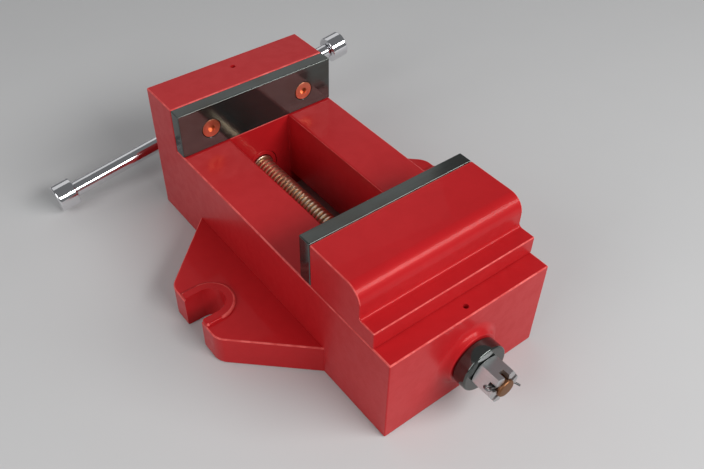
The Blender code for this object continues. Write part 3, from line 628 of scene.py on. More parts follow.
def thread_finish():
    """Brass-tinted steel with old oil in the root of the thread, by distance from the axis."""
    look = settings().spindle
    metal = Finish("lead_screw_steel", {"Metallic": 1.0})
    centred = metal.node(
        "ShaderNodeVectorMath", settings={"operation": "SUBTRACT"}, i0=metal.place, i1=SPINDLE_AXIS)
    flat = metal.node(
        "ShaderNodeVectorMath", settings={"operation": "MULTIPLY"}, i0=centred, i1=(1.0, 0.0, 1.0))
    radius = metal.node("ShaderNodeVectorMath", "Value", {"operation": "LENGTH"}, i0=flat)
    crest = look.thread / 2
    root = crest - look.depth
    rise = metal.node("ShaderNodeMapRange", Value=radius, i1=root, i2=crest - 0.0003)
    along = metal.node("ShaderNodeSeparateXYZ", "Y", Vector=metal.place)
    far_end = metal.node("ShaderNodeMapRange", Value=along, i1=SLOT_END - 0.001, i2=SLOT_END)
    stain = metal.noise(220.0, 4.0)
    dirt = (1.0 - rise) * (1.0 - far_end) * (0.30 + stain * 0.40)
    wear = metal.noise(900.0, 2.0)
    turned = metal.noise(500.0, 2.0, 0.5, metal.stretched((0.3, 4.0, 0.3)))
    near_end = metal.node("ShaderNodeMapRange", Value=along, i1=SLOT_START, i2=SLOT_START - 0.001)
    oiled = metal.mix(wear * 0.5, tuple(look.screw), scaled(look.screw, 0.8))
    brassy = metal.mix(near_end, oiled, tuple(look.stained))
    plain = metal.mix(turned * 0.5, tuple(look.bare), scaled(look.bare, 0.75))
    return metal.shade(
        colour=metal.mix(dirt, metal.mix(far_end, brassy, plain), tuple(look.grime)),
        roughness=0.28 + dirt * 0.3 + wear * 0.1 - far_end * 0.06,
        normal=metal.bump(wear * (1.0 - far_end) + turned * far_end, 0.00002))


def chrome_finish():
    """Chrome plate with faint hairlines and handling haze."""
    look = settings().spindle
    chrome = Finish("chrome_plate", {"Metallic": 1.0})
    hair = chrome.noise(900.0, 2.0, 0.5, chrome.stretched((0.15, 3.0, 3.0)))
    haze = chrome.ramp(chrome.noise(60.0, 3.0), (0.45, 0.0), (0.70, 1.0))
    tone = chrome.mix(haze * 0.35, tuple(look.chrome), scaled(look.chrome, 0.82))
    return chrome.shade(
        colour=tone, roughness=0.05 + haze * 0.06 + hair * 0.03, normal=chrome.bump(hair, 0.000006))


def shared_finish(name):
    """Each finish is made once and shared by its pieces."""
    made = bpy.data.materials.get(f"{name}_finish")
    if made:
        return made
    look = settings().fastener
    makers = {
        "red_enamel": enamel_finish,
        "blackened_steel": blackened_finish,
        "lead_screw_steel": thread_finish,
        "chrome_plate": chrome_finish,
        "copper_plate": lambda: metal_finish(
            "copper_plate", tuple(look.copper), 0.24, (0.34, 0.10, 0.05), (1.0, 1.0, 1.0), 0.00002),
        "bronze": lambda: metal_finish(
            "bronze", tuple(look.bronze), 0.34, (0.16, 0.08, 0.04), (4.0, 0.4, 4.0), 0.00002),
        "bright_steel": lambda: metal_finish(
            "bright_steel", tuple(look.steel), 0.28, (0.30, 0.28, 0.26), (5.0, 0.5, 0.5), 0.00002),
        "dull_steel": lambda: metal_finish(
            "dull_steel", scaled(look.steel, 0.32), 0.38, (0.14, 0.12, 0.10), (1.0, 1.0, 1.0), 0.00002),
    }
    return makers[name]()


# ---------------------------------------------------------------- bed
def add_lug(side):
    """One bolting lug: a block whose outer face is drawn in, corners rounded, edges softened."""
    look = settings().casting
    reach = look.lug_reach
    inner = HALF_WIDTH - 3 * OVERCUT
    slope = (look.lug_root - look.lug_tip) / 2 / (reach - HALF_WIDTH)
    root_half = look.lug_root / 2 + slope * (HALF_WIDTH - inner)
    lug = add_block("lug", (inner, -root_half, FIT_GAP), (reach, root_half, look.lug_height))
    open_mesh(lug)
    pick("FACE", lambda face: face.normal.x > 0.9)
    bpy.ops.transform.resize(value=(1.0, look.lug_tip / 2 / root_half, 1.0))
    pick("EDGE", lambda edge: runs_along(edge, UP) and middle(edge).x > reach - FIT_GAP)
    corner_angle = atan2(look.lug_root - look.lug_tip, 2 * (reach - HALF_WIDTH))
    round_picked(look.lug_corner * sin(corner_angle) / (1 + cos(corner_angle)), 10)
    close_mesh()
    round_edges(lug, look.edge)
    fuse(lug, add_rim())
    carve(lug, add_bolt_slot())
    turn = Matrix.Identity(4) if side > 0 else Matrix.Rotation(pi, 4, "Z")
    lug.matrix_world = Matrix.Translation((0.0, look.slot_line, 0.0)) @ turn
    return settle(lug)


def add_round_ended(name, half_width, outer, low, high):
    """A bar whose inner end is a half circle about the bolting slot's centre."""
    inner = settings().casting.slot_centre - half_width
    bar = add_block(name, (inner, -half_width, low), (outer, half_width, high))
    open_mesh(bar)
    pick("EDGE", lambda edge: runs_along(edge, UP) and middle(edge).x < inner + FIT_GAP)
    round_picked(half_width * 0.9999, 16)
    bpy.ops.mesh.select_all(action="SELECT")
    bpy.ops.mesh.remove_doubles(threshold=0.00002)
    close_mesh()
    return bar


def add_rim():
    """The raised rim, softly rounded."""
    look = settings().casting
    half_width = look.slot_width / 2 + look.rim_width
    rim = add_round_ended("rim", half_width, look.lug_reach - look.edge, look.lug_height / 2, look.rim_top)
    round_edges(rim, look.rim_edge, 4, 60.0)
    return rim


def add_bolt_slot():
    look = settings().casting
    return add_round_ended(
        "bolt_slot", look.slot_width / 2, look.lug_reach + OVERCUT, -OVERCUT, look.rim_top + OVERCUT)


def add_boss(near_face):
    """Bearing boss whose foot flares into the near face."""
    look = settings().casting
    face = BED_LOW.y
    flare_centre = (near_face - look.boss_flare, look.boss_radius + look.boss_flare)
    turns = [radians(180 - 90 * i / 12) for i in range(13)]
    along, radius = flare_centre
    flare = [(along + look.boss_flare * sin(a), radius + look.boss_flare * cos(a)) for a in turns]
    rim = corner(face + look.edge, look.boss_radius - look.edge, look.edge, -90, 0)
    flare = [point for point in flare if point[0] > face + look.edge]
    foot = look.boss_radius + look.boss_flare
    profile = [(face, 0.0)] + rim + flare + [(near_face + OVERCUT, foot), (near_face + OVERCUT, 0.0)]
    return on_axis(turn_piece("boss", profile, 96))


def model_bed():
    look = settings().casting
    near_face = BED_LOW.y + look.boss_height
    bed = add_block("base_casting_finished", (-HALF_WIDTH, near_face, 0.0), (HALF_WIDTH, FAR_FACE, RAIL_TOP))
    open_mesh(bed)
    bpy.ops.mesh.select_all(action="SELECT")
    bpy.ops.mesh.bisect(plane_co=(0.0, FIXED_JAW_FACE, 0.0), plane_no=ALONG)
    pick("FACE", lambda face: face.normal.z > 0.9 and middle(face).y > FIXED_JAW_FACE)
    extrude_picked((0.0, 0.0, BED_HIGH.z - RAIL_TOP))
    close_mesh()
    carve(bed, add_block(
        "slot", (-SLOT_HALF, SLOT_START, -OVERCUT), (SLOT_HALF, SLOT_END, RAIL_TOP + OVERCUT)))
    round_edges(bed, look.edge, 3)
    carve(bed, add_block("recess", (-RECESS_HALF, SLOT_START - FIT_GAP, -OVERCUT),
                         (RECESS_HALF, SLOT_END + FIT_GAP, RECESS_TOP)))
    fuse(bed, add_lug(1), add_lug(-1), add_boss(near_face))

    near_seat = (NEAR_BUSH_HIGH.x - NEAR_BUSH_LOW.x) / 2 + FIT_GAP
    far_seat = (FAR_BUSH_HIGH.x - FAR_BUSH_LOW.x) / 2 + FIT_GAP
    carve(
        bed,
        add_axis_rod("near_seat", near_seat, BED_LOW.y - OVERCUT, SLOT_START + OVERCUT),
        add_axis_rod("far_seat", far_seat, SLOT_END - OVERCUT, FAR_FACE + OVERCUT),
        *oil_drills(), *plate_screw_drills("fixed"),
    )
    mark_highlight_edges(bed, look.edge * 0.56, look.boss_radius + look.boss_flare + FIT_GAP)
    finish_piece(bed, shared_finish("red_enamel"), "bed", "red_enamel", "base_casting")


def oil_drills():
    """Two oil holes, straight down to the spindle."""
    radius = settings().casting.oil_hole / 2
    drills = []
    for along, top in ((NEAR_OIL_HOLE, RAIL_TOP), (FAR_OIL_HOLE, BED_HIGH.z)):
        drills.append(add_rod("oil_drill", radius, (0, along, SPINDLE_AXIS.z), (0, along, top + OVERCUT), 32))
    return drills


# ---------------------------------------------------------------- plates and their screws
def screw_mouth(node):
    """Centre of a plate screw's head and the direction that its shank runs in."""
    low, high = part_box(node)
    centre = (low + high) / 2
    if node.startswith("fixed"):
        return Vector((centre.x, low.y, centre.z)), ALONG
    return Vector((centre.x, high.y, centre.z)), -ALONG


def plate_screw_drills(which):
    look = settings().fastener
    drills = []
    for node in PLATE_SCREW_NODES[which]:
        low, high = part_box(node)
        mouth, direction = screw_mouth(node)
        head = (high.x - low.x) / 2 + FIT_GAP
        shank = look.screw_shank / 2 + FIT_GAP
        lip = look.screw_lip + FIT_GAP
        depth = high.y - low.y + OVERCUT
        mouth_ease = 0.0002
        profile = [(-OVERCUT, 0.0), (-OVERCUT, head + mouth_ease), (0.0, head + mouth_ease),
                   (mouth_ease, head), (lip, head), (lip + head - shank, shank), (depth, shank), (depth, 0.0)]
        drills.append(place(turn_piece("screw_drill", profile, 48), mouth, direction))
    return drills


def model_jaw_plates():
    look = settings().fastener
    for which, body in (("fixed", "bed"), ("moving", "sliding_jaw")):
        node = f"{which}_jaw_plate"
        low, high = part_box(node)
        plate = add_block(f"{node}_finished", low, high)
        round_edges(plate, look.plate_edge, 3)
        carve(plate, *plate_screw_drills(which))
        finish_piece(plate, shared_finish("blackened_steel"), body, "blackened_steel", node)


def model_plate_screws():
    """One countersunk screw with a hexagon socket, copied to its four places."""
    look = settings().fastener
    low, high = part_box(PLATE_SCREW_NODES["fixed"][0])
    head = (high.x - low.x) / 2
    shank = look.screw_shank / 2
    length = high.y - low.y
    rim = 0.0002
    tip = 0.0006
    socket_depth = 0.002
    pitch = 0.001
    groove = pitch * 0.4
    taper = look.screw_lip + head - shank
    profile = [(0.0, 0.0)] + corner(rim, head - rim, rim, -90, 0) + [(look.screw_lip, head), (taper, shank)]
    threads = int((length - taper) / pitch) - 1
    for turn in range(threads):
        start = taper + turn * pitch
        profile += [
            (start + pitch * 0.4, shank), (start + pitch * 0.7, shank - groove), (start + pitch, shank)]
    profile += [(length - tip, shank), (length, shank - tip), (length, 0.0)]
    pattern = turn_piece("plate_screw_pattern", profile, 48)
    carve(pattern, add_hexagon("socket", look.socket, -OVERCUT, socket_depth))
    for which, body in (("fixed", "bed"), ("moving", "sliding_jaw")):
        for node in PLATE_SCREW_NODES[which]:
            mouth, direction = screw_mouth(node)
            turn = Matrix.Identity(4) if direction.y > 0 else Matrix.Rotation(pi, 4, "Z")
            screw = copy_piece(pattern, f"{node}_finished", Matrix.Translation(mouth) @ turn)
            finish_piece(screw, shared_finish("copper_plate"), body, "copper_plate", node)
    bpy.data.objects.remove(pattern)


# ---------------------------------------------------------------- bearings
def model_bearings():
    """Two bronze bushes, whose faces were painted over with the casting."""
    spindle = settings().spindle
    oil_radius = settings().casting.oil_hole / 2
    outer_round = 0.0006
    for node, journal in (
            ("front_bearing_bush", spindle.near_journal), ("rear_bearing_bush", spindle.far_journal)):
        low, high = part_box(node)
        outer = (high.x - low.x) / 2
        profile = tube(low.y, high.y, journal / 2 + FIT_GAP, outer, outer_round)
        bush = on_axis(turn_piece(f"{node}_finished", profile, 64, ring=True))
        along = NEAR_OIL_HOLE if node.startswith("front") else FAR_OIL_HOLE
        carve(bush, add_rod("oil_drill", oil_radius, (0, along, SPINDLE_AXIS.z), (0, along, RAIL_TOP), 24))
        finish_piece(bush, shared_finish("red_enamel"), "bed", "bronze", node)


# ---------------------------------------------------------------- sliding jaw
def keep_bolt_drills():
    radius = settings().fastener.bolt_shank / 2 + FIT_GAP
    drills = []
    for node in KEEP_BOLT_NODES:
        low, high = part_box(node)
        centre = (low + high) / 2
        mouth = (centre.x, centre.y, -OVERCUT)
        drills.append(add_rod("bolt_drill", radius, mouth, (centre.x, centre.y, high.z + FIT_GAP), 32))
    return drills


def model_sliding_jaw():
    """Low step, upright face with a hollow at its foot, round nose, and the guide block between the rails."""
    look = settings().casting
    floor = MOVING_PLATE_LOW.z
    upright = JAW_LOW.y + look.step_depth
    jaw = add_block(
        "moving_jaw_finished", (-HALF_WIDTH, JAW_LOW.y, floor),
        (HALF_WIDTH, JAW_HIGH.y, RAIL_TOP + look.step_height))
    open_mesh(jaw)
    bpy.ops.mesh.select_all(action="SELECT")
    bpy.ops.mesh.bisect(plane_co=(0.0, upright, 0.0), plane_no=ALONG)
    pick("FACE", lambda face: face.normal.z > 0.9 and middle(face).y > upright)
    extrude_picked((0.0, 0.0, JAW_HIGH.z - RAIL_TOP - look.step_height))
    across = Vector((1.0, 0.0, 0.0))
    pick("EDGE", lambda edge: runs_along(edge, across) and abs(middle(edge).y - upright) < FIT_GAP
         and middle(edge).z > JAW_HIGH.z - FIT_GAP)
    round_picked(look.nose, 14)
    pick("EDGE", lambda edge: runs_along(edge, across) and abs(middle(edge).y - upright) < FIT_GAP
         and abs(middle(edge).z - RAIL_TOP - look.step_height) < FIT_GAP)
    round_picked(look.hollow, 6)
    close_mesh()
    round_edges(jaw, look.edge, 3)
    guide = add_block(
        "guide", (-SLOT_HALF + FIT_GAP, NUT_LOW.y - look.guide_proud, JAW_LOW.z),
        (SLOT_HALF - FIT_GAP, NUT_HIGH.y + look.guide_proud, RAIL_TOP + look.step_height / 2))
    round_edges(guide, look.edge / 2, 2)
    fuse(jaw, guide)
    carve(jaw, *plate_screw_drills("moving"), *keep_bolt_drills())
    mark_highlight_edges(jaw, look.edge * 0.56)
    finish_piece(jaw, shared_finish("red_enamel"), "sliding_jaw", "red_enamel", "moving_jaw")


def model_jaw_guide():
    """Lead nut, keep plate and the four bolts that draw them up to the jaw."""
    look = settings().fastener
    spindle = settings().spindle
    nut = add_block("lead_nut_finished", NUT_LOW, NUT_HIGH)
    round_edges(nut, 0.001, 3)
    bore = spindle.thread / 2 + FIT_GAP
    carve(nut, add_axis_rod("bore", bore, NUT_LOW.y - OVERCUT, NUT_HIGH.y + OVERCUT),
          *keep_bolt_drills())
    finish_piece(nut, shared_finish("bronze"), "sliding_jaw", "bronze", "lead_nut")

    keep = add_block("keep_plate_finished", KEEP_LOW, KEEP_HIGH)
    round_edges(keep, look.plate_edge, 3)
    carve(keep, *keep_bolt_drills())
    finish_piece(keep, shared_finish("bright_steel"), "sliding_jaw", "bright_steel", "keep_plate")

    low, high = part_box(KEEP_BOLT_NODES[0])
    head = (high.x - low.x) / 2
    shank = look.bolt_shank / 2
    length = high.z - low.z
    tip = 0.0006
    lip = 0.0002
    profile = [(0.0, 0.0)] + corner(tip, head - tip, tip, -90, 0) + [
        (look.bolt_head - lip, head), (look.bolt_head, head - lip), (look.bolt_head, shank),
        (length - tip, shank), (length, shank - tip), (length, 0.0)]
    pattern = turn_piece("keep_bolt_pattern", profile, 48)
    carve(pattern, add_hexagon("socket", look.socket, -OVERCUT, look.bolt_head / 2))
    upright = ALONG.rotation_difference(UP).to_matrix().to_4x4()
    for node in KEEP_BOLT_NODES:
        low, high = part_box(node)
        foot = Vector(((low.x + high.x) / 2, (low.y + high.y) / 2, low.z))
        bolt = copy_piece(pattern, f"{node}_finished", Matrix.Translation(foot) @ upright)
        finish_piece(bolt, shared_finish("bright_steel"), "sliding_jaw", "bright_steel", node)
    bpy.data.objects.remove(pattern)


# ---------------------------------------------------------------- lead screw
def add_thread(near, far):
    """The thread: one pitch of its form, screwed on past both ends and cut off square, between two steps."""
    look = settings().spindle
    crest = look.thread / 2
    root = crest - look.depth
    ease = look.depth * 0.12
    form = [(0.00, root), (0.32, root), (0.35, root + ease), (0.46, crest - ease), (0.49, crest),
            (0.83, crest), (0.86, crest - ease), (0.97, root + ease), (1.00, root)]
    start = near - look.pitch * (1 + 0.25 / look.steps)
    chain = draw_chain("thread", [(radius, start + share * look.pitch, 0.0) for share, radius in form])
    screw = chain.modifiers.new("Thread", "SCREW")
    screw.axis = "Y"
    screw.angle = 2 * pi
    screw.screw_offset = look.pitch
    screw.iterations = int((far - near) / look.pitch) + 2
    screw.steps = look.steps
    screw.render_steps = look.steps
    screw.use_merge_vertices = True
    screw.merge_threshold = 0.00001
    apply_modifier(chain, screw)
    open_mesh(chain)
    for along, outward in ((near, -ALONG), (far, ALONG)):
        bpy.ops.mesh.select_all(action="SELECT")
        bpy.ops.mesh.bisect(plane_co=(0.0, along, 0.0), plane_no=outward, use_fill=True, clear_outer=True)
    bpy.ops.mesh.select_all(action="SELECT")
    bpy.ops.mesh.remove_doubles(threshold=1e-6)
    bpy.ops.mesh.normals_make_consistent(inside=False)
    close_mesh()
    return chain


def model_lead_screw():
    look = settings().spindle
    low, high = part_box("lead_screw")
    head_start = high.y - look.head_length
    washer_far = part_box("rear_thrust_washer")[1].y + FIT_GAP
    shoulder_far = washer_far + look.shoulder_length
    core = look.thread / 2 - look.depth - 0.0001
    ease = 0.0005
    hollow = 0.0012
    bow = hollow / 3
    near = look.near_journal / 2
    far = look.far_journal / 2
    shoulder = (high.x - low.x) / 2
    head = look.head / 2
    neck = look.neck / 2
    thread_near = SLOT_START + 0.001
    thread_far = SLOT_END - 0.001
    run_in = 0.002
    near_end = (
        [(low.y, 0.0)] + corner(low.y + 2 * ease, near - 2 * ease, 2 * ease, -90, 0)
        + [(thread_near - ease, near), (thread_near, near - ease), (thread_near, core),
           (thread_near + run_in, core), (thread_near + run_in, 0.0)])
    far_end = (
        [(thread_far - run_in, 0.0), (thread_far - run_in, core), (thread_far, core)]
        + corner(thread_far + ease, far - ease, ease, -90, 0)
        + [(washer_far, far)]
        + corner(washer_far + ease, shoulder - ease, ease, -90, 0)
        + corner(shoulder_far - ease, shoulder - ease, ease, 0, 90)
        + [(shoulder_far, neck + hollow), (shoulder_far + bow, neck + bow), (shoulder_far + hollow, neck),
           (head_start - hollow, neck), (head_start - bow, neck + bow), (head_start, neck + hollow)]
        + corner(head_start + ease, head - ease, ease, -90, 0)
        + corner(high.y - 4 * ease, head - 4 * ease, 4 * ease, 0, 90, 8)
        + [(high.y, 0.0)])
    spindle = add_thread(thread_near + ease, thread_far - ease)
    spindle.name = "lead_screw_finished"
    fuse(spindle, turn_piece("near_end", near_end, 64), turn_piece("far_end", far_end, 72))
    on_axis(spindle)
    centre = centre_of("handle_bar")
    reach = BAR_DIRECTION * look.head
    pin_centre, pin_direction = pin_place()
    carve(
        spindle,
        add_rod("bar_hole", look.bar / 2 + FIT_GAP, centre - reach, centre + reach),
        add_rod("pin_hole", look.pin_hole / 2, pin_centre - pin_direction * look.near_journal,
                pin_centre + pin_direction * look.near_journal, 24),
    )
    finish_piece(spindle, shared_finish("lead_screw_steel"), "spindle", "screw_steel", "lead_screw")


def pin_place():
    """Centre of the split pin and the direction that it goes through the spindle."""
    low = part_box("castle_nut")[0]
    centre = Vector((0.0, low.y + settings().spindle.nut_slot_depth / 2, SPINDLE_AXIS.z))
    return centre, Vector((cos(PIN_TURN), 0.0, -sin(PIN_TURN)))


# ---------------------------------------------------------------- fittings on the spindle
def model_thrust_rings():
    look = settings().spindle
    for node, journal, rim, material, slot in (
            ("rear_thrust_washer", look.far_journal, 0.0005, "bright_steel", "bright_steel"),
            ("front_thrust_collar", look.near_journal, 0.0010, "blackened_steel", "blackened_steel")):
        low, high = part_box(node)
        profile = tube(low.y, high.y, journal / 2 + FIT_GAP, (high.x - low.x) / 2, rim)
        ring = on_axis(turn_piece(f"{node}_finished", profile, 80, ring=True))
        finish_piece(ring, shared_finish(material), "spindle", slot, node)


def model_castle_nut():
    """Hexagon, its corners turned off at both ends, bored, and slotted across its flats."""
    look = settings().spindle
    low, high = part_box("castle_nut")
    corner_radius = look.nut_flats / sqrt(3)
    chamfer = corner_radius - look.nut_flats / 2
    nut = add_hexagon("castle_nut_finished", look.nut_flats, low.y, high.y)
    outer = corner_radius + OVERCUT / 4
    envelope = turn_piece("envelope", [
        (low.y, 0.0), (low.y, look.nut_flats / 2), (low.y + chamfer * 0.6, outer),
        (high.y - chamfer * 0.6, outer), (high.y, look.nut_flats / 2), (high.y, 0.0)], 96)
    combine(nut, envelope, "INTERSECT")
    bore = look.near_journal / 2 + FIT_GAP
    carve(nut, add_rod("bore", bore, (0, low.y - OVERCUT, 0), (0, high.y + OVERCUT, 0)))
    for turn in range(3):
        slot = add_block("nut_slot", (-look.nut_flats, low.y - OVERCUT, -look.nut_slot / 2),
                         (look.nut_flats, low.y + look.nut_slot_depth, look.nut_slot / 2))
        slot.matrix_world = Matrix.Rotation(pi / 6 + turn * pi / 3, 4, "Y")
        carve(nut, settle(slot))
    on_axis(nut)
    broken_edge = 0.00015
    round_edges(nut, broken_edge, 2, 40.0)
    finish_piece(nut, shared_finish("bright_steel"), "spindle", "bright_steel", "castle_nut")


class Wire:
    """A round wire drawn in the XY plane as straight runs and bends."""

    def __init__(self, name, radius, start, heading):
        self.position = Vector(start)
        self.heading = heading
        bpy.ops.object.select_all(action="DESELECT")
        bpy.ops.mesh.primitive_circle_add(
            vertices=14, radius=radius, fill_type="NGON", location=self.position,
            rotation=(0.0, pi / 2, heading))
        self.obj = settle(name_piece(name))
        open_mesh(self.obj)
        bpy.ops.mesh.select_all(action="SELECT")

    def direction(self):
        return Vector((cos(self.heading), sin(self.heading), 0.0))

    def straight(self, length):
        move = self.direction() * length
        extrude_picked(move)
        self.position += move

    def bend(self, turn, radius, steps):
        """Positive turns bend to the left."""
        side = 1.0 if turn > 0 else -1.0
        to_centre = Vector((-sin(self.heading), cos(self.heading), 0.0)) * side * radius
        centre = self.position + to_centre
        bpy.ops.mesh.spin(steps=steps, angle=-turn, center=centre, axis=UP)
        self.heading += turn
        self.position = centre + Matrix.Rotation(turn, 3, "Z") @ -to_centre

    def done(self):
        bpy.ops.mesh.select_all(action="SELECT")
        bpy.ops.mesh.remove_doubles(threshold=1e-7)
        bpy.ops.mesh.normals_make_consistent(inside=False)
        close_mesh()
        return self.obj


def model_split_pin():
    """Two legs through the spindle, an eye on one side, tips opened out on the other."""
    look = settings().spindle
    radius = look.pin_wire / 2
    half_leg_gap = 0.00008
    leg = radius + half_leg_gap
    eye = look.pin_wire
    opening = radians(60)
    bend = look.pin_wire * 1.3
    leg_end = look.nut_flats / sqrt(3) + FIT_GAP
    tail = look.pin_wire * 2
    tip_x = leg_end + bend * sin(opening) + tail * cos(opening)
    tip_y = leg + bend * (1 - cos(opening)) + tail * sin(opening)
    wire = Wire("split_pin_finished", radius, (tip_x, tip_y, 0.0), pi + opening)
    wire.straight(tail)
    wire.bend(-opening, bend, 6)
    neck_turn = radians(50)
    neck_run = leg_end * 2
    wire.straight(neck_run)
    wire.bend(-neck_turn, eye, 5)
    gap = wire.position.y
    wire.bend(2 * neck_turn + pi, eye_radius(gap, wire.heading), 18)
    wire.bend(-neck_turn, eye, 5)
    wire.straight(neck_run)
    wire.bend(-opening, bend, 6)
    wire.straight(tail)
    pin = wire.done()
    centre = pin_place()[0]
    pin.matrix_world = Matrix.Translation(centre) @ Matrix.Rotation(PIN_TURN, 4, "Y")
    settle(pin)
    finish_piece(pin, shared_finish("dull_steel"), "spindle", "bright_steel", "split_pin", angle=60.0)


def eye_radius(gap, heading):
    """Radius of the arc that starts at a height and heading and comes back at the mirrored height."""
    return gap / abs(cos(heading))


# ---------------------------------------------------------------- handle
def model_handle():
    look = settings().spindle
    centre = centre_of("handle_bar")
    low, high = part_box("handle_knob_right")
    knob_far = ((low + high) / 2 - centre).dot(BAR_DIRECTION) + look.knob_length / 2
    knob_near = knob_far - look.knob_length
    bar_end = knob_near - FIT_GAP
    radius = look.bar / 2
    spigot = 0.0032
    spigot_length = 0.0085
    bar_round = 0.0005
    inner_round = 0.0008
    outer_round = 0.0012
    spigot_end = bar_end + spigot_length
    half = corner(bar_end - bar_round, radius - bar_round, bar_round, 0, 90) + [
        (bar_end, spigot), (spigot_end, spigot), (spigot_end, 0.0)]
    profile = [(-along, r) for along, r in reversed(half)] + half
    bar = place(turn_piece("handle_bar_finished", profile, 64), centre, BAR_DIRECTION)
    finish_piece(bar, shared_finish("chrome_plate"), "handle", "chrome", "handle_bar")

    bore = spigot + FIT_GAP
    knob_profile = (
        [(spigot_end + FIT_GAP, 0.0), (spigot_end + FIT_GAP, bore), (knob_near, bore)]
        + corner(knob_near + inner_round, look.knob / 2 - inner_round, inner_round, -90, 0, 5)
        + corner(knob_far - outer_round, look.knob / 2 - outer_round, outer_round, 0, 90, 6)
        + [(knob_far, 0.0)])
    for side, label in ((-1, "left"), (1, "right")):
        knob = turn_piece(f"handle_knob_{label}_finished", knob_profile, 80)
        place(knob, centre, BAR_DIRECTION * side)
        finish_piece(knob, shared_finish("chrome_plate"), "handle", "chrome", f"handle_knob_{label}")


# ---------------------------------------------------------------- stage
def add_area_light(name, place_at, look_at, size, power):
    bpy.ops.object.select_all(action="DESELECT")
    bpy.ops.object.light_add(type="AREA", location=place_at)
    light = bpy.context.object
    light.name = name
    light.data.shape = "RECTANGLE"
    light.data.size, light.data.size_y = size
    light.data.energy = power
    light.rotation_euler = (Vector(look_at) - Vector(place_at)).to_track_quat("-Z", "Y").to_euler()


def model_stage():
    look = settings().stage
    bpy.ops.object.select_all(action="DESELECT")
    bpy.ops.mesh.primitive_plane_add(size=8.0, location=(0.0, 0.0, -0.0002))
    floor = settle(name_piece("floor"))
    paper = Finish("floor_paper", {"Roughness": 0.9, "Specular IOR Level": 0.2})
    grain = paper.noise(30.0, 3.0)
    floor.data.materials.append(paper.shade(
        colour=paper.mix(grain * 0.5, tuple(look.floor), scaled(look.floor, 0.96))))

    world = bpy.data.worlds.new("studio")
    world.use_nodes = True
    background = world.node_tree.nodes["Background"]
    background.inputs["Color"].default_value = (0.95, 0.97, 1.0, 1.0)
    background.inputs["Strength"].default_value = look.surround
    bpy.context.scene.world = world
    bpy.context.scene.view_settings.view_transform = "Standard"

    target = Vector((-0.003, -0.0274, 0.04))
    add_area_light("key", (0.34, -0.88, 0.76), target, (1.0, 0.36), look.key)
    add_area_light("fill", (-0.8, -0.1, 0.5), target, (0.6, 0.6), look.fill)
    add_area_light("back", (0.1, 1.0, 0.8), target, (1.6, 0.8), look.back)

    back = Vector((
        sin(look.azimuth) * cos(look.elevation),
        -cos(look.azimuth) * cos(look.elevation),
        sin(look.elevation)))
    bpy.ops.object.camera_add(location=target + back * look.distance)
    camera = bpy.context.object
    camera.name = "camera"
    lean = Matrix.Rotation(look.roll, 3, "Z")
    camera.rotation_euler = (back.to_track_quat("Z", "Y").to_matrix() @ lean).to_euler()
    camera.data.lens = look.lens
    camera.data.sensor_width = 36.0
    camera.data.clip_start = 0.01
    bpy.context.scene.camera = camera


# ---------------------------------------------------------------- operators
class VISE_OT_bed(bpy.types.Operator):
    """Model the bed casting with its fixed jaw, lugs and bearing boss"""
    bl_idname = "vise.model_bed"
    bl_label = "Bed"
    bl_options = {"REGISTER", "UNDO"}

    def execute(self, context):
        model_bed()
        return {"FINISHED"}


class VISE_OT_sliding_jaw(bpy.types.Operator):
    """Model the sliding jaw casting"""
    bl_idname = "vise.model_sliding_jaw"
    bl_label = "Sliding Jaw"
    bl_options = {"REGISTER", "UNDO"}

    def execute(self, context):
        model_sliding_jaw()
        return {"FINISHED"}


class VISE_OT_jaw_plates(bpy.types.Operator):
    """Model the two blackened jaw plates"""
    bl_idname = "vise.model_jaw_plates"
    bl_label = "Jaw Plates"
    bl_options = {"REGISTER", "UNDO"}

    def execute(self, context):
        model_jaw_plates()
        return {"FINISHED"}


class VISE_OT_plate_screws(bpy.types.Operator):
    """Model the countersunk screws of the jaw plates"""
    bl_idname = "vise.model_plate_screws"
    bl_label = "Plate Screws"
    bl_options = {"REGISTER", "UNDO"}

    def execute(self, context):
        model_plate_screws()
        return {"FINISHED"}


class VISE_OT_bearings(bpy.types.Operator):
    """Model the two bronze bushes"""
    bl_idname = "vise.model_bearings"
    bl_label = "Bushes"
    bl_options = {"REGISTER", "UNDO"}

    def execute(self, context):
        model_bearings()
        return {"FINISHED"}


class VISE_OT_jaw_guide(bpy.types.Operator):
    """Model the lead nut, the keep plate and the keep bolts"""
    bl_idname = "vise.model_jaw_guide"
    bl_label = "Lead Nut and Keep Plate"
    bl_options = {"REGISTER", "UNDO"}

    def execute(self, context):
        model_jaw_guide()
        return {"FINISHED"}


class VISE_OT_lead_screw(bpy.types.Operator):
    """Model the lead screw with its thread, journals and head"""
    bl_idname = "vise.model_lead_screw"
    bl_label = "Lead Screw"
    bl_options = {"REGISTER", "UNDO"}

    def execute(self, context):
        model_lead_screw()
        return {"FINISHED"}


class VISE_OT_thrust_rings(bpy.types.Operator):
    """Model the thrust washer and the thrust collar"""
    bl_idname = "vise.model_thrust_rings"
    bl_label = "Thrust Rings"
    bl_options = {"REGISTER", "UNDO"}

    def execute(self, context):
        model_thrust_rings()
        return {"FINISHED"}


class VISE_OT_castle_nut(bpy.types.Operator):
    """Model the castle nut"""
    bl_idname = "vise.model_castle_nut"
    bl_label = "Castle Nut"
    bl_options = {"REGISTER", "UNDO"}

    def execute(self, context):
        model_castle_nut()
        return {"FINISHED"}


class VISE_OT_split_pin(bpy.types.Operator):
    """Model the split pin"""
    bl_idname = "vise.model_split_pin"
    bl_label = "Split Pin"
    bl_options = {"REGISTER", "UNDO"}

    def execute(self, context):
        model_split_pin()
        return {"FINISHED"}


class VISE_OT_handle(bpy.types.Operator):
    """Model the handle bar and its two knobs"""
    bl_idname = "vise.model_handle"
    bl_label = "Handle"
    bl_options = {"REGISTER", "UNDO"}

    def execute(self, context):
        model_handle()
        return {"FINISHED"}


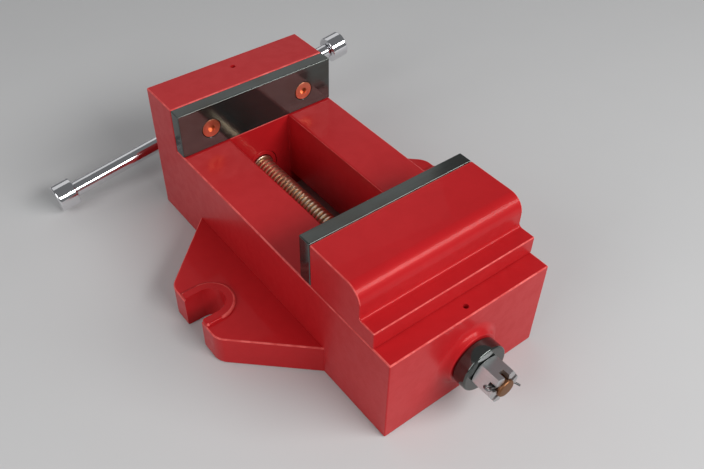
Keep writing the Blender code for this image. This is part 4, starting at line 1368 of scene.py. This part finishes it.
class VISE_OT_stage(bpy.types.Operator):
    """Set up the floor, the lights and the camera"""
    bl_idname = "vise.set_stage"
    bl_label = "Stage"
    bl_options = {"REGISTER", "UNDO"}

    def execute(self, context):
        model_stage()
        return {"FINISHED"}


OPERATORS = (
    VISE_OT_stage, VISE_OT_bed, VISE_OT_sliding_jaw, VISE_OT_jaw_plates, VISE_OT_plate_screws,
    VISE_OT_bearings, VISE_OT_jaw_guide, VISE_OT_lead_screw, VISE_OT_thrust_rings, VISE_OT_castle_nut,
    VISE_OT_split_pin, VISE_OT_handle,
)


class VISE_PT_panel(bpy.types.Panel):
    """The vise's pieces and settings in the sidebar"""
    bl_idname = "VISE_PT_panel"
    bl_label = "Bench Vise"
    bl_space_type = "VIEW_3D"
    bl_region_type = "UI"
    bl_category = "Vise"

    def draw(self, context):
        for operator in OPERATORS:
            self.layout.operator(operator.bl_idname)
        for group in ("casting", "fastener", "spindle", "stage"):
            box = self.layout.box()
            box.label(text=group.title())
            values = getattr(context.scene.vise_settings, group)
            for name in values.__annotations__:
                box.prop(values, name)


CLASSES = (
    ViseCastingSettings, ViseFastenerSettings, ViseSpindleSettings, ViseStageSettings, ViseSettings,
    *OPERATORS, VISE_PT_panel,
)


def register():
    for cls in CLASSES:
        bpy.utils.register_class(cls)
    bpy.types.Scene.vise_settings = PointerProperty(type=ViseSettings)


def unregister():
    del bpy.types.Scene.vise_settings
    for cls in reversed(CLASSES):
        bpy.utils.unregister_class(cls)


def main():
    register()
    bpy.ops.vise.set_stage()
    bpy.ops.vise.model_bed()
    bpy.ops.vise.model_sliding_jaw()
    bpy.ops.vise.model_jaw_plates()
    bpy.ops.vise.model_plate_screws()
    bpy.ops.vise.model_bearings()
    bpy.ops.vise.model_jaw_guide()
    bpy.ops.vise.model_lead_screw()
    bpy.ops.vise.model_thrust_rings()
    bpy.ops.vise.model_castle_nut()
    bpy.ops.vise.model_split_pin()
    bpy.ops.vise.model_handle()


if __name__ == "__main__":
    main()
